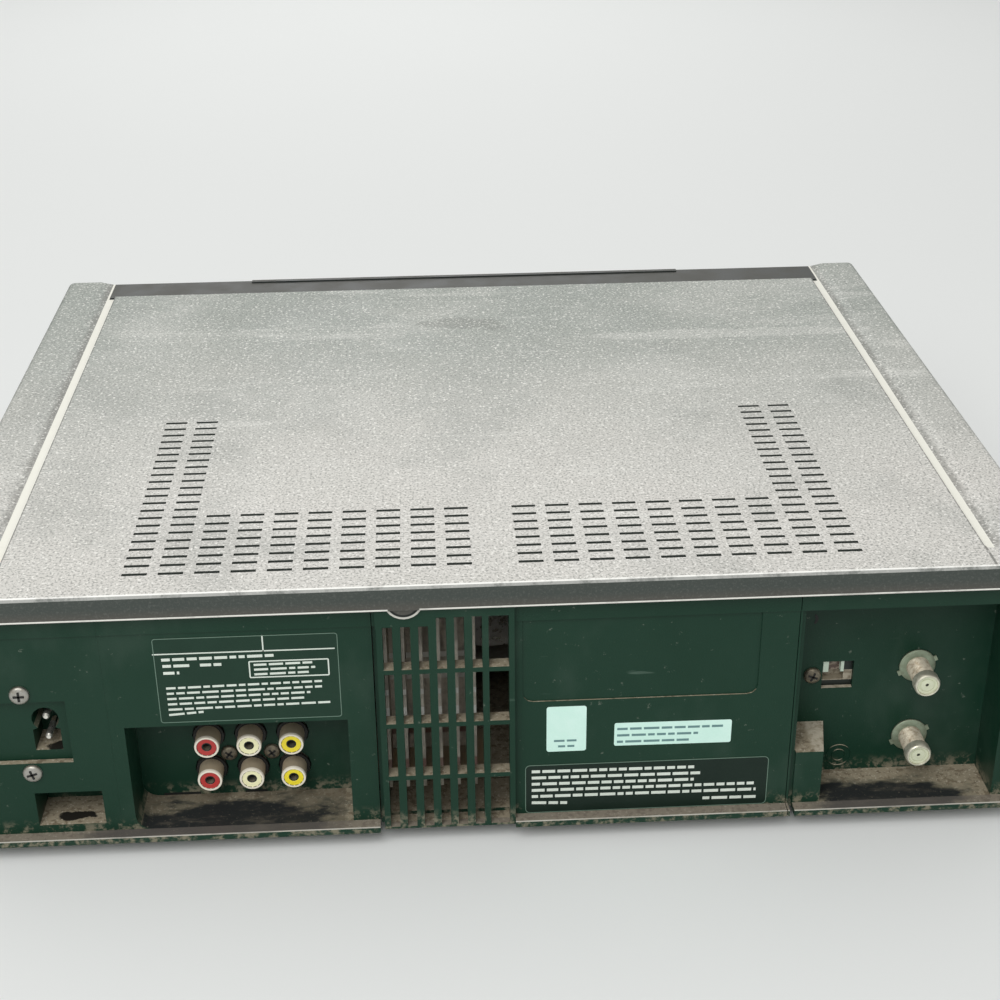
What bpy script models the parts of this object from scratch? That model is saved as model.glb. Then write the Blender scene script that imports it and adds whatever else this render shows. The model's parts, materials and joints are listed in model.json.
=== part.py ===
"""Front-loading video cassette recorder with its tape deck, seen mostly from behind.

Metres, +Z up. The cassette door faces -Y and the sockets face +Y. The origin is the centre of the
body's footprint, on the surface that the feet stand on. Each named object is one piece of the
machine, or one set of identical pieces, and a moving piece has its origin on its joint's axis.
"""

import math

import bmesh
import bpy
from mathutils import Matrix, Vector

# Body
BODY_WIDTH = 0.430
BODY_DEPTH = 0.342
BODY_HEIGHT = 0.120
FOOT_HEIGHT = 0.008
FIT_GAP = 0.0003
RUNNING_GAP = 0.0006
OVERRUN = 0.002
SHEET = 0.001
MOULDED_WALL = 0.0025

HALF_WIDTH = BODY_WIDTH / 2
REAR_Y = BODY_DEPTH / 2
FRONT_Y = -BODY_DEPTH / 2
BASE_Z = FOOT_HEIGHT
TOP_Z = BODY_HEIGHT

# Top cover, one pressed sheet
FASCIA_DEPTH = 0.023
BUTTON_PROUD = 0.001
LIP_HEIGHT = 0.0105
LIP_FOLD_RADIUS = 0.0015
LIP_FOLD_MIDWAY = 45
SHOULDER_RADIUS = 0.004
COVER_SIDE_LIFT = 0.002
GROOVE_INNER_X = 0.186
GROOVE_STEP_WIDTH = 0.0008
GROOVE_FLOOR_WIDTH = 0.0034
GROOVE_SLOPE_WIDTH = 0.0068
GROOVE_DEPTH = 0.0016
GROOVE_REAR_INSET = 0.014
GROOVE_RUN_OUT = 0.004
GROOVE_TIP_WIDTH_SHARE = 0.45
GROOVE_MIDWAY_DEPTH_SHARE = 0.9
GROOVE_MIDWAY_WIDTH_SHARE = 0.85
WING_X = 0.1893
SLOT_LENGTH = 0.0094
SLOT_WIDTH = 0.0018
SLOT_PITCH_X = 0.01343
SLOT_PITCH_Y = 0.00648
SLOT_COLUMNS = 10
SLOT_TALL_COLUMNS = 2
SLOT_TALL_ROWS = 22
SLOT_SHORT_ROWS = 8
SLOT_REAR_INSET = 0.0154
TAB_X = 0.0348
TAB_RADIUS = 0.0072
TAB_SET_BACK = 0.0009
TAB_OVERLAP = 0.003

FASCIA_FACE_Y = FRONT_Y + BUTTON_PROUD
FASCIA_REAR_Y = FASCIA_FACE_Y + FASCIA_DEPTH
COVER_FRONT_Y = FASCIA_REAR_Y + FIT_GAP
COVER_SIDE_Z = BASE_Z + COVER_SIDE_LIFT
INNER_HALF_WIDTH = HALF_WIDTH - SHEET - FIT_GAP

# Bottom tray
TRAY_WALL = 0.0025
TRAY_RIM_HEIGHT = 0.026
TRAY_VENT_LENGTH = 0.040
TRAY_VENT_WIDTH = 0.003
TRAY_VENT_PITCH = 0.010
TRAY_VENT_ROWS = 7
TRAY_VENT_X = 0.095
BOARD_POST_RADIUS = 0.003
BOARD_POST_INSET = 0.008
FOOT_X = 0.172
FOOT_FRONT_INSET = 0.036
FOOT_REAR_INSET = 0.050
FOOT_RADIUS = 0.014
FOOT_TAPER = 0.0015
FOOT_DISH_RADIUS = 0.010
FOOT_DISH_DEPTH = 0.0012
FOOT_PEG_RADIUS = 0.003

TRAY_TOP_Z = BASE_Z + TRAY_WALL

# Rear panel, a moulding with a ledge, two bays, a cord pocket and a grille.
# It is drawn as four sections, so that collision stays open inside its bays.
LEDGE_DEPTH = 0.0055
LEDGE_THICKNESS = 0.0025
REAR_FLOOR_DEPTH = 0.0297
BAND_HEIGHT = 0.0195
BAND_PROUD = 0.0008
BAY_WALL = 0.002
JACK_BAY_LEFT_X = 0.058
JACK_BAY_RIGHT_X = 0.1433
JACK_BAY_TOP_Z = 0.0586
JACK_BAY_DEPTH = 0.0215
JACK_BAY_CORNER = 0.006
JACK_BAY_CORNER_START = 275
RF_BAY_LEFT_X = -0.1985
RF_BAY_RIGHT_X = -0.1174
RF_BAY_DEPTH = 0.021
RF_BLOCK_WIDTH = 0.0113
RF_BLOCK_FLARE = 0.0047
RF_BLOCK_TOP_Z = 0.0349
POCKET_LEFT_X = 0.155
POCKET_RIGHT_X = 0.181
POCKET_FLOOR_Z = 0.0142
POCKET_TOP_Z = 0.0297
POCKET_DEPTH = 0.018
GROOVE_CUT_WIDTH = 0.0015
GROOVE_CUT_DEPTH = 0.0015
FRAME_LEFT_X = -0.1005
FRAME_RIGHT_X = -0.0094
FRAME_BOTTOM_Z = 0.0635
FRAME_CORNER = 0.004
FRAME_DEPTH = 0.0006
GRILLE_LEFT_X = -0.0063
GRILLE_RIGHT_X = 0.0458
GRILLE_PROUD = 0.0033
GRILLE_SLOT_WIDTH = 0.0037
GRILLE_PITCH = 0.00672
GRILLE_FIRST_X = 0.0413
GRILLE_COLUMNS = 6
GRILLE_WIDE_WIDTH = 0.0076
GRILLE_WIDE_X = -0.0004
GRILLE_ROWS = 4
GRILLE_BAR = 0.002
GRILLE_BOTTOM_MARGIN = 0.0010
GRILLE_TOP_MARGIN = 0.0045
GRILLE_TAB_DROP = 0.0036

PANEL_Y = REAR_Y - LEDGE_DEPTH
PANEL_INNER_Y = PANEL_Y - MOULDED_WALL
PANEL_TOP_Z = TOP_Z - SHEET - GROOVE_DEPTH - FIT_GAP
LEDGE_TOP_Z = BASE_Z + LEDGE_THICKNESS
SECTION_FOOT_Z = BASE_Z + LEDGE_THICKNESS / 2
REAR_FLOOR_Y = REAR_Y - REAR_FLOOR_DEPTH
BAND_Z = TOP_Z - BAND_HEIGHT
JACK_WALL_Y = PANEL_Y - JACK_BAY_DEPTH
RF_WALL_Y = PANEL_Y - RF_BAY_DEPTH
GRILLE_Y = PANEL_Y + GRILLE_PROUD
GRILLE_TOP_Z = TOP_Z - LIP_HEIGHT - FIT_GAP
AERIAL_SEAM_X = RF_BAY_RIGHT_X + BAY_WALL + 2 * FIT_GAP
GRILLE_SEAM_X = GRILLE_RIGHT_X + GROOVE_CUT_WIDTH - FIT_GAP
INLET_SEAM_X = (JACK_BAY_RIGHT_X + POCKET_LEFT_X) / 2

# Mains inlet, its flange behind the panel
INLET_LEFT_X = 0.1642
INLET_RIGHT_X = 0.1975
INLET_BOTTOM_Z = 0.0438
INLET_TOP_Z = 0.0718
INLET_EAR_Z_SPREAD = 0.0182
INLET_EAR_MARGIN = 0.005
INLET_MARGIN = 0.003
INLET_FLANGE = 0.0025
INLET_BODY_DEPTH = 0.022
INLET_SOCKET_X = 0.1732
INLET_SOCKET_WIDTH = 0.0104
INLET_SOCKET_HEIGHT = 0.0194
INLET_FOOT_SHARE = 0.9
INLET_CROWN_HALF_ANGLE = 140
INLET_SOCKET_DEPTH = 0.014
INLET_PIN_RADIUS = 0.0012
INLET_PIN_SPACING = 0.0092
INLET_PIN_TIP_SHARE = 0.6
INLET_PIN_LENGTH = 0.0115
INLET_X = (INLET_LEFT_X + INLET_RIGHT_X) / 2
INLET_Z = (INLET_BOTTOM_Z + INLET_TOP_Z) / 2
INLET_FLANGE_Y = PANEL_INNER_Y - FIT_GAP

# Audio and video sockets
JACK_FIRST_X = 0.0816
JACK_PITCH_X = 0.01665
JACK_LOWER_Z = 0.0233
JACK_PITCH_Z = 0.0160
JACK_COLUMNS = 3
JACK_ROWS = 2
JACK_HOLE_RADIUS = 0.0067
JACK_COLLAR_RADIUS = 0.0061
JACK_SLEEVE_RADIUS = 0.0048
JACK_SLEEVE_WALL = 0.0008
JACK_SLEEVE_REACH = 0.0090
JACK_COLLAR_REACH = 0.0008
JACK_INSERT_RECESS = 0.0004
JACK_CONTACT_DEPTH = 0.006
JACK_CONTACT_RADIUS = 0.0016
JACK_BLOCK_MARGIN = 0.008
JACK_BLOCK_DEPTH = 0.012

# Aerial unit
RF_CAN_LEFT_X = -0.196
RF_CAN_RIGHT_X = -0.122
RF_CAN_TOP_Z = 0.080
RF_CAN_DEPTH = 0.046
RF_CAN_SHELL = 0.001
RF_LID_SKIRT = 0.006
AERIAL_X = -0.1693
AERIAL_UPPER_Z = 0.0602
AERIAL_LOWER_Z = 0.0268
AERIAL_RADIUS = 0.00476
AERIAL_REACH = 0.0155
AERIAL_COLLAR_RADIUS = 0.0069
AERIAL_COLLAR_REACH = 0.0018
AERIAL_HOLE_RADIUS = 0.0076
AERIAL_MOUTH_RADIUS = 0.0036
AERIAL_MOUTH_DEPTH = 0.0012
AERIAL_SEAT_DEPTH = 0.003
AERIAL_CONTACT_RADIUS = 0.0011
AERIAL_CONTACT_DEPTH = 0.004
AERIAL_CHAMFER = 0.0005
SWITCH_X = -0.13735
SWITCH_Z = 0.05705
SWITCH_WINDOW_WIDTH = 0.0125
SWITCH_WINDOW_HEIGHT = 0.0125
SWITCH_BODY_WIDTH = 0.0139
SWITCH_BODY_HEIGHT = 0.0139
SWITCH_BODY_DEPTH = 0.0050
SWITCH_WALL = 0.0008
SWITCH_KNOB_X = -0.1357
SWITCH_KNOB_WIDTH = 0.0084
SWITCH_KNOB_HEIGHT = 0.0052
SWITCH_KNOB_SET_BACK = 0.0010
SWITCH_TRAVEL = 0.0040
SWITCH_GRIP_X = -0.13615
SWITCH_GRIP_WIDTH = 0.0049
SWITCH_GRIP_DEPTH = 0.0018

# Boards and parts on them
BOARD_THICKNESS = 0.0016
BOARD_STANDOFF = 0.0035
BOARD_EDGE = 0.0060
SIDE_BOARD_WIDTH = 0.084
MAIN_BOARD_DEPTH = 0.262
POWER_BOARD_DEPTH = 0.150
POWER_STRIP_DEPTH = 0.026
POWER_STRIP_END_X = 0.002
HEAT_SINK_X = 0.026
HEAT_SINK_WIDTH = 0.036
HEAT_SINK_DEPTH = 0.030
HEAT_SINK_OVERHANG = 0.013
HEAT_SINK_TOP_Z = 0.098
HEAT_SINK_FINS = 6
HEAT_SINK_FIN = 0.0018
HEAT_SINK_BACK = 0.003
CORE_WIDTH = 0.042
CORE_DEPTH = 0.036
CORE_HEIGHT = 0.034
CORE_X = 0.166
CORE_MARGIN = 0.006
CORE_WINDOW_SHARE = 0.62
BOBBIN_BULGE = 0.006
CAPACITOR_RADIUS = 0.0085
CAPACITOR_SHOULDER_SHARE = 0.12
CAPACITOR_HEIGHT = 0.030
CAPACITOR_PITCH = 0.021
CAPACITOR_COUNT = 3

BOARD_Z = TRAY_TOP_Z + BOARD_STANDOFF
BOARD_TOP_Z = BOARD_Z + BOARD_THICKNESS
BOARD_OUTER_X = INNER_HALF_WIDTH - BOARD_EDGE
BOARD_INNER_X = BOARD_OUTER_X - SIDE_BOARD_WIDTH
BOARD_REAR_Y = REAR_FLOOR_Y - FIT_GAP - OVERRUN

# Tape deck
DECK_Z = 0.040
DECK_SHEET = 0.0015
DECK_HALF_WIDTH = 0.112
DECK_FRONT_Y = -0.078
DECK_REAR_Y = 0.106
DECK_CORNER = 0.010
DECK_LEG_WIDTH = 0.014
DECK_LEG_INSET = 0.016
DECK_LEG_THICKNESS = 0.003
REEL_X = 0.046
REEL_Y = -0.026
REEL_RADIUS = 0.028
REEL_TABLE = 0.004
REEL_HUB_RADIUS = 0.0105
REEL_HUB_HEIGHT = 0.012
REEL_SPINDLE_RADIUS = 0.0055
REEL_SPINDLE_HEIGHT = 0.024
REEL_LIFT = 0.0015
REEL_JOURNAL_RADIUS = 0.003
REEL_VANES = 3
REEL_VANE_REACH = 0.002
REEL_VANE_WIDTH = 0.0016
DRUM_Y = 0.064
DRUM_RADIUS = 0.031
DRUM_TILT = math.radians(5.9)
DRUM_LOWER_HEIGHT = 0.020
DRUM_UPPER_HEIGHT = 0.017
DRUM_RELIEF = 0.0012
DRUM_FOOT_RADIUS = 0.024
DRUM_FOOT_HEIGHT = 0.007
DRUM_SHAFT_RADIUS = 0.003
DRUM_SHAFT_HEIGHT = 0.008
DRUM_HEAD_SLOT = 0.003
CAPSTAN_X = 0.064
CAPSTAN_Y = 0.038
CAPSTAN_RADIUS = 0.002
CAPSTAN_TOP_Z = 0.078
FLYWHEEL_RADIUS = 0.024
FLYWHEEL_THICKNESS = 0.006
FLYWHEEL_Z = 0.0225
PULLEY_RADIUS = 0.0125
PULLEY_THICKNESS = 0.005
PULLEY_FLANGE = 0.0014
BEARING_RADIUS = 0.008
BEARING_HEIGHT = 0.006
BEARING_NECK_SHARE = 0.7
BEARING_DROP = 0.002
BEARING_FLANGE = 0.002
CLUTCH_X = 0.004
CLUTCH_Y = -0.006
CLUTCH_RADIUS = 0.0175
CLUTCH_SHAFT_RADIUS = 0.0025
CLUTCH_SHAFT_RISE = 0.006
BELT_THICKNESS = 0.0012
BELT_WIDTH = 0.003
PINCH_PIVOT_X = 0.098
PINCH_PIVOT_Y = 0.046
PINCH_PRESS_HEADING = math.radians(53)
PINCH_SWING = math.radians(28)
PINCH_RADIUS = 0.0062
PINCH_BOTTOM_Z = 0.052
PINCH_TOP_Z = 0.073
PINCH_PIN_RADIUS = 0.0018
ARM_THICKNESS = 0.003
ARM_WIDTH = 0.010
ARM_SLEEVE_SHARE = 0.8
GUIDE_X = 0.043
GUIDE_Y = 0.0145
GUIDE_TRAVEL = 0.074
GUIDE_BASE_WIDTH = 0.014
GUIDE_BASE_LENGTH = 0.022
GUIDE_BASE_HEIGHT = 0.005
GUIDE_ROLLER_RADIUS = 0.0034
GUIDE_FLANGE_RADIUS = 0.0046
GUIDE_TOP_Z = 0.074
GUIDE_KEY_WIDTH = 0.004
GUIDE_KEY_LENGTH = 0.014
ERASE_X = -0.074
ERASE_Y = 0.044
HEAD_WIDTH = 0.014
HEAD_DEPTH = 0.009
HEAD_BOTTOM_Z = 0.050
HEAD_TOP_Z = 0.072
CONTROL_X = 0.070
CONTROL_Y = 0.086
HEAD_NOSE_SHARE = 0.6
HEAD_POST_RADIUS = 0.003
MOTOR_X = -0.084
MOTOR_Y = 0.080
MOTOR_RADIUS = 0.011
MOTOR_SADDLE_SHARE = 0.8
MOTOR_LENGTH = 0.026
MOTOR_LIFT = 0.002
WORM_RADIUS = 0.0035
WORM_ROOT_SHARE = 0.7
WORM_LENGTH = 0.014
WORM_THREADS = 3

DECK_TOP_Z = DECK_Z + DECK_SHEET

# Cassette carriage
CASSETTE_WIDTH = 0.188
CASSETTE_HEIGHT = 0.025
CASSETTE_PLAY = 0.0008
CASSETTE_FLOOR_Z = 0.0775
HOLDER_FRONT_Y = -0.066
HOLDER_LENGTH = 0.096
HOLDER_RAIL = 0.013
HOLDER_ROOF_INSET = 0.014
CARRIAGE_TRAVEL = 0.065
LOWER_TRAVEL = 0.026
BRACKET_CLEARANCE = 0.006
BRACKET_SHEET = 0.0015
BRACKET_FRONT_Y = -0.126
BRACKET_REAR_Y = 0.032
BRACKET_TOP_Z = 0.104
BRACKET_FLANGE = 0.006
PIN_RADIUS = 0.002
PIN_FRONT_Z = 0.088
PIN_REAR_Z = 0.096
PIN_FRONT_Y = -0.048
PIN_REAR_Y = 0.014
PIN_TAIL = 0.002
SLIDER_SHEET = 0.0012
SLIDER_MARGIN_Y = 0.010
SLIDER_MARGIN_Z = 0.006
SLIDER_TOP_Z = 0.112
SYNC_Y = -0.017
SYNC_Z = 0.1085
SYNC_RADIUS = 0.0016

PIN_SLOT_WIDTH = 2 * (PIN_RADIUS + FIT_GAP)
HOLDER_INNER_X = CASSETTE_WIDTH / 2 + CASSETTE_PLAY
HOLDER_OUTER_X = HOLDER_INNER_X + DECK_SHEET
HOLDER_ROOF_Z = CASSETTE_FLOOR_Z + CASSETTE_HEIGHT + CASSETTE_PLAY
BRACKET_X = HOLDER_OUTER_X + BRACKET_CLEARANCE
SLIDER_X = BRACKET_X + BRACKET_SHEET + RUNNING_GAP

# Fascia
FASCIA_WALL = 0.0025
FASCIA_ROUND = 0.002
DOOR_HALF_WIDTH = 0.100
DOOR_BOTTOM_Z = 0.0740
DOOR_TOP_Z = 0.1070
DOOR_THICKNESS = 0.0025
HINGE_PIN_RADIUS = 0.0007
HINGE_PIN_LENGTH = 0.0015
DOOR_BOSS = 0.0035
DOOR_GRIP_HEIGHT = 0.004
CREST_HALF_WIDTH = 0.1155
CREST_DEPTH = 0.003
CREST_HEIGHT = 0.0006
WINDOW_HALF_WIDTH = 0.070
WINDOW_BOTTOM_Z = 0.036
WINDOW_TOP_Z = 0.064
WINDOW_THICKNESS = 0.0018
WINDOW_LIP = 0.0015
TUBE_HALF_WIDTH = 0.056
TUBE_HALF_HEIGHT = 0.009
TUBE_DEPTH = 0.006
BUTTON_WIDTH = 0.022
BUTTON_HEIGHT = 0.011
BUTTON_FLANGE = 0.0015
BUTTON_FLANGE_THICKNESS = 0.001
BUTTON_BACKLASH = 0.0005
BUTTON_TRAVEL = 0.0012
BUTTON_STEM_RADIUS = 0.002
BUTTON_CORNER = 0.0015
BUTTON_UPPER_Z = 0.092
BUTTON_LOWER_Z = 0.072
BUTTON_PITCH = 0.028
TRANSPORT_X = 0.152
POWER_X = -0.182
EJECT_X = -0.142
ROCKER_X = 0.152
ROCKER_Z = 0.044
ROCKER_WIDTH = 0.034
ROCKER_DEPTH = 0.006
ROCKER_PIN_RADIUS = 0.0012
ROCKER_PIN_LENGTH = 0.003
ROCKER_CLEARANCE = 0.0006
FLAP_LEFT_X = -0.198
FLAP_RIGHT_X = -0.110
FLAP_BOTTOM_Z = 0.022
FLAP_TOP_Z = 0.048
FLAP_THICKNESS = 0.0025
FLAP_WELL_DEPTH = 0.012
FLAP_RIM = 0.002
FRONT_JACK_RADIUS = 0.0042
FRONT_JACK_COUNT = 3
FRONT_JACK_PITCH = 0.022
FRONT_JACK_REACH = 0.006
DISPLAY_BOARD_GAP = 0.0012
DISPLAY_BOARD_BOTTOM_Z = 0.026
DISPLAY_BOARD_MIDDLE_Z = 0.068
DISPLAY_BOARD_TOP_Z = 0.100
DISPLAY_BOARD_NOTCH_X = 0.108

FASCIA_INNER_Y = FASCIA_FACE_Y + FASCIA_WALL
BUTTON_FLANGE_Y = FASCIA_INNER_Y + BUTTON_BACKLASH
DISPLAY_BOARD_Y = FASCIA_REAR_Y - DISPLAY_BOARD_GAP - BOARD_THICKNESS
FASCIA_TOP_Z = TOP_Z - CREST_HEIGHT - FIT_GAP
DOOR_AXIS_Y = FASCIA_FACE_Y + DOOR_THICKNESS / 2
DOOR_AXIS_Z = DOOR_TOP_Z - DOOR_THICKNESS / 2
ROCKER_AXIS_SHARE = 0.7
ROCKER_Y = FRONT_Y + ROCKER_DEPTH * ROCKER_AXIS_SHARE
FLAP_AXIS_Y = FASCIA_FACE_Y + FLAP_THICKNESS / 2
FLAP_AXIS_Z = FLAP_BOTTOM_Z + FLAP_THICKNESS / 2

# Facets of round pieces
FINE = 24
MEDIUM = 16
PLAIN = 12
COARSE = 8
HALF_TURN_STEPS = 6
QUARTER_TURN_STEPS = 3
SMOOTH_ANGLE = math.radians(40)
WELD = 0.000001


def clear_scene():
    for obj in list(bpy.data.objects):
        bpy.data.objects.remove(obj)


def material(name, colour, roughness, metallic=0.0):
    """A Principled BSDF material, made once and then reused by name."""
    found = bpy.data.materials.get(name)
    if found:
        return found
    made = bpy.data.materials.new(name)
    made.use_nodes = True
    shader = made.node_tree.nodes["Principled BSDF"]
    shader.inputs["Base Color"].default_value = (*colour, 1.0)
    shader.inputs["Roughness"].default_value = roughness
    shader.inputs["Metallic"].default_value = metallic
    return made


def painted_steel():
    return material("painted_steel", (0.16, 0.16, 0.155), 0.55, 0.4)


def black_plastic():
    return material("black_plastic", (0.012, 0.03, 0.022), 0.45)


def fascia_plastic():
    return material("fascia_plastic", (0.03, 0.032, 0.034), 0.35)


def button_plastic():
    return material("button_plastic", (0.07, 0.075, 0.08), 0.4)


def plated_steel():
    return material("plated_steel", (0.55, 0.55, 0.52), 0.35, 0.9)


def polished_metal():
    return material("polished_metal", (0.75, 0.75, 0.76), 0.15, 1.0)


def brass():
    return material("brass", (0.72, 0.58, 0.32), 0.3, 1.0)


def circuit_board():
    return material("circuit_board", (0.30, 0.20, 0.08), 0.6)


def copper():
    return material("copper", (0.60, 0.26, 0.12), 0.35, 1.0)


def rubber():
    return material("rubber", (0.02, 0.02, 0.02), 0.8)


def white_plastic():
    return material("white_plastic", (0.75, 0.73, 0.66), 0.45)


def red_plastic():
    return material("red_plastic", (0.55, 0.03, 0.03), 0.4)


def yellow_plastic():
    return material("yellow_plastic", (0.80, 0.60, 0.04), 0.4)


def smoked_window():
    return material("smoked_window", (0.01, 0.01, 0.012), 0.08)


# Outlines: lists of points (u, v), anticlockwise


def rectangle(u0, u1, v0, v1):
    return [(u0, v0), (u1, v0), (u1, v1), (u0, v1)]


def arc(centre, radius, start, end, steps):
    """Points from angle start to angle end, in degrees, both ends included."""
    points = []
    for k in range(steps + 1):
        angle = math.radians(start + (end - start) * k / steps)
        points.append((centre[0] + radius * math.cos(angle), centre[1] + radius * math.sin(angle)))
    return points


def rounded_rectangle(u0, u1, v0, v1, radius, steps=2):
    points = arc((u1 - radius, v1 - radius), radius, 0, 90, steps)
    points += arc((u0 + radius, v1 - radius), radius, 90, 180, steps)
    points += arc((u0 + radius, v0 + radius), radius, 180, 270, steps)
    points += arc((u1 - radius, v0 + radius), radius, 270, 360, steps)
    return points


def stadium(start, end, width, steps=4):
    """The outline that a round cutter of that width leaves between two points."""
    along = Vector(end) - Vector(start)
    heading = math.degrees(math.atan2(along.y, along.x))
    points = arc(end, width / 2, heading - 90, heading + 90, steps)
    return points + arc(start, width / 2, heading + 90, heading + 270, steps)


# Solids: each adds one closed shell to a bmesh and returns its vertices


def loft(bm, sections):
    """Skins closed loops of points, one after another, and caps both ends."""
    loops = [[bm.verts.new(point) for point in section] for section in sections]
    faces = [bm.faces.new(loops[0]), bm.faces.new(loops[-1][::-1])]
    for loop, following in zip(loops, loops[1:]):
        for k in range(len(loop)):
            n = (k + 1) % len(loop)
            faces.append(bm.faces.new((loop[k], following[k], following[n], loop[n])))
    bmesh.ops.recalc_face_normals(bm, faces=faces)
    return [vert for loop in loops for vert in loop]


def prism(bm, outline, axis, low, high):
    """Extrudes an outline along an axis. (u, v) is (y, z) for X, (x, z) for Y and (x, y) for Z."""
    order = {"X": (2, 0, 1), "Y": (0, 2, 1), "Z": (0, 1, 2)}[axis]
    sections = []
    for w in (low, high):
        sections.append([[(u, v, w)[k] for k in order] for u, v in outline])
    return loft(bm, sections)


def block(bm, x0, x1, y0, y1, z0, z1):
    return prism(bm, rectangle(x0, x1, y0, y1), "Z", z0, z1)


def lathe(bm, profile, place=(0, 0, 0), axis="Z", steps=PLAIN, closed=False):
    """Turns a profile of (radius, height) about an axis. A point of radius zero is on the axis.

    An open profile starts and ends on the axis, and a closed one makes a ring.
    """
    turn = {
        "Z": Matrix(), "Y": Matrix.Rotation(-math.pi / 2, 4, "X"),
        "X": Matrix.Rotation(math.pi / 2, 4, "Y"),
    }
    matrix = Matrix.Translation(place) @ turn[axis]
    rings = []
    for radius, height in profile:
        if radius == 0:
            rings.append([bm.verts.new(matrix @ Vector((0, 0, height)))] * steps)
            continue
        ring = []
        for k in range(steps):
            angle = 2 * math.pi * k / steps
            point = Vector((radius * math.cos(angle), radius * math.sin(angle), height))
            ring.append(bm.verts.new(matrix @ point))
        rings.append(ring)
    pairs = list(zip(rings, rings[1:]))
    if closed:
        pairs.append((rings[-1], rings[0]))
    faces = []
    for lower, upper in pairs:
        for k in range(steps):
            n = (k + 1) % steps
            corners = list(dict.fromkeys((lower[k], lower[n], upper[n], upper[k])))
            if len(corners) > 2:
                faces.append(bm.faces.new(corners))
    bmesh.ops.recalc_face_normals(bm, faces=faces)
    return list(dict.fromkeys(vert for ring in rings for vert in ring))


def cylinder(bm, place, radius, low, high, axis="Z", steps=PLAIN):
    return lathe(bm, [(0, low), (radius, low), (radius, high), (0, high)], place, axis, steps)


def tube(bm, place, radius, bore, low, high, axis="Z", steps=PLAIN):
    profile = [(bore, low), (radius, low), (radius, high), (bore, high)]
    return lathe(bm, profile, place, axis, steps, closed=True)


# Objects


def add_object(name, bm, finish=None, origin=(0, 0, 0)):
    """Makes an object from a bmesh that is drawn in world space, with its origin at a given point."""
    bm.transform(Matrix.Translation(-Vector(origin)))
    mesh = bpy.data.meshes.new(name)
    bm.to_mesh(mesh)
    bm.free()
    obj = bpy.data.objects.new(name, mesh)
    bpy.context.scene.collection.objects.link(obj)
    obj.location = origin
    if finish:
        mesh.materials.append(finish)
        mesh.shade_smooth()
        mesh.set_sharp_from_angle(angle=SMOOTH_ANGLE)
    return obj


def combine(target, label, bm, operation):
    """Cuts a bmesh from an object, or joins it on, with a Boolean modifier."""
    tool = add_object(target.name + "_" + label, bm)
    tool.hide_render = True
    tool.display_type = "WIRE"
    modifier = target.modifiers.new(label, "BOOLEAN")
    modifier.operation = operation
    modifier.object = tool


def cut(target, label, bm):
    combine(target, label, bm, "DIFFERENCE")


def join(target, label, bm):
    combine(target, label, bm, "UNION")


# Top cover


def cover_section(y, depth_share=0, width_share=1, drop=0, roof_z=TOP_Z - SHEET):
    """The sheet's section at y: outside from right to left, then inside from left to right."""
    top = TOP_Z - drop
    under = TOP_Z - SHEET
    depth = GROOVE_DEPTH * depth_share
    floor_x = GROOVE_INNER_X + GROOVE_STEP_WIDTH
    slope_x = floor_x + GROOVE_FLOOR_WIDTH * width_share
    edge_x = slope_x + GROOVE_SLOPE_WIDTH * width_share
    corner_x = HALF_WIDTH - SHOULDER_RADIUS
    outside = [(HALF_WIDTH, COVER_SIDE_Z)]
    outside += arc((corner_x, top - SHOULDER_RADIUS), SHOULDER_RADIUS, 0, 90, 4)
    outside += [(edge_x, top), (slope_x, top - depth), (floor_x, top - depth), (GROOVE_INNER_X, top)]
    inside = [(HALF_WIDTH - SHEET, COVER_SIDE_Z), (HALF_WIDTH - SHEET, TOP_Z - LIP_HEIGHT)]
    inside += arc((corner_x, TOP_Z - SHOULDER_RADIUS), SHOULDER_RADIUS - SHEET, 0, 90, 4)
    inside += [(edge_x, under), (slope_x, under - depth)]
    inside += [(floor_x - SHEET / 2, under - depth), (GROOVE_INNER_X - SHEET / 2, under)]
    inside = [(x, min(z, roof_z)) for x, z in inside]
    outline = outside + [(-x, z) for x, z in reversed(outside)]
    outline += [(-x, z) for x, z in inside] + list(reversed(inside))
    return [(x, y, z) for x, z in outline]


def slot_places():
    for side in (-1, 1):
        for column in range(SLOT_COLUMNS):
            tall = column >= SLOT_COLUMNS - SLOT_TALL_COLUMNS
            for row in range(SLOT_TALL_ROWS if tall else SLOT_SHORT_ROWS):
                yield side * SLOT_PITCH_X * (column + 1), REAR_Y - SLOT_REAR_INSET - row * SLOT_PITCH_Y


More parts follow.
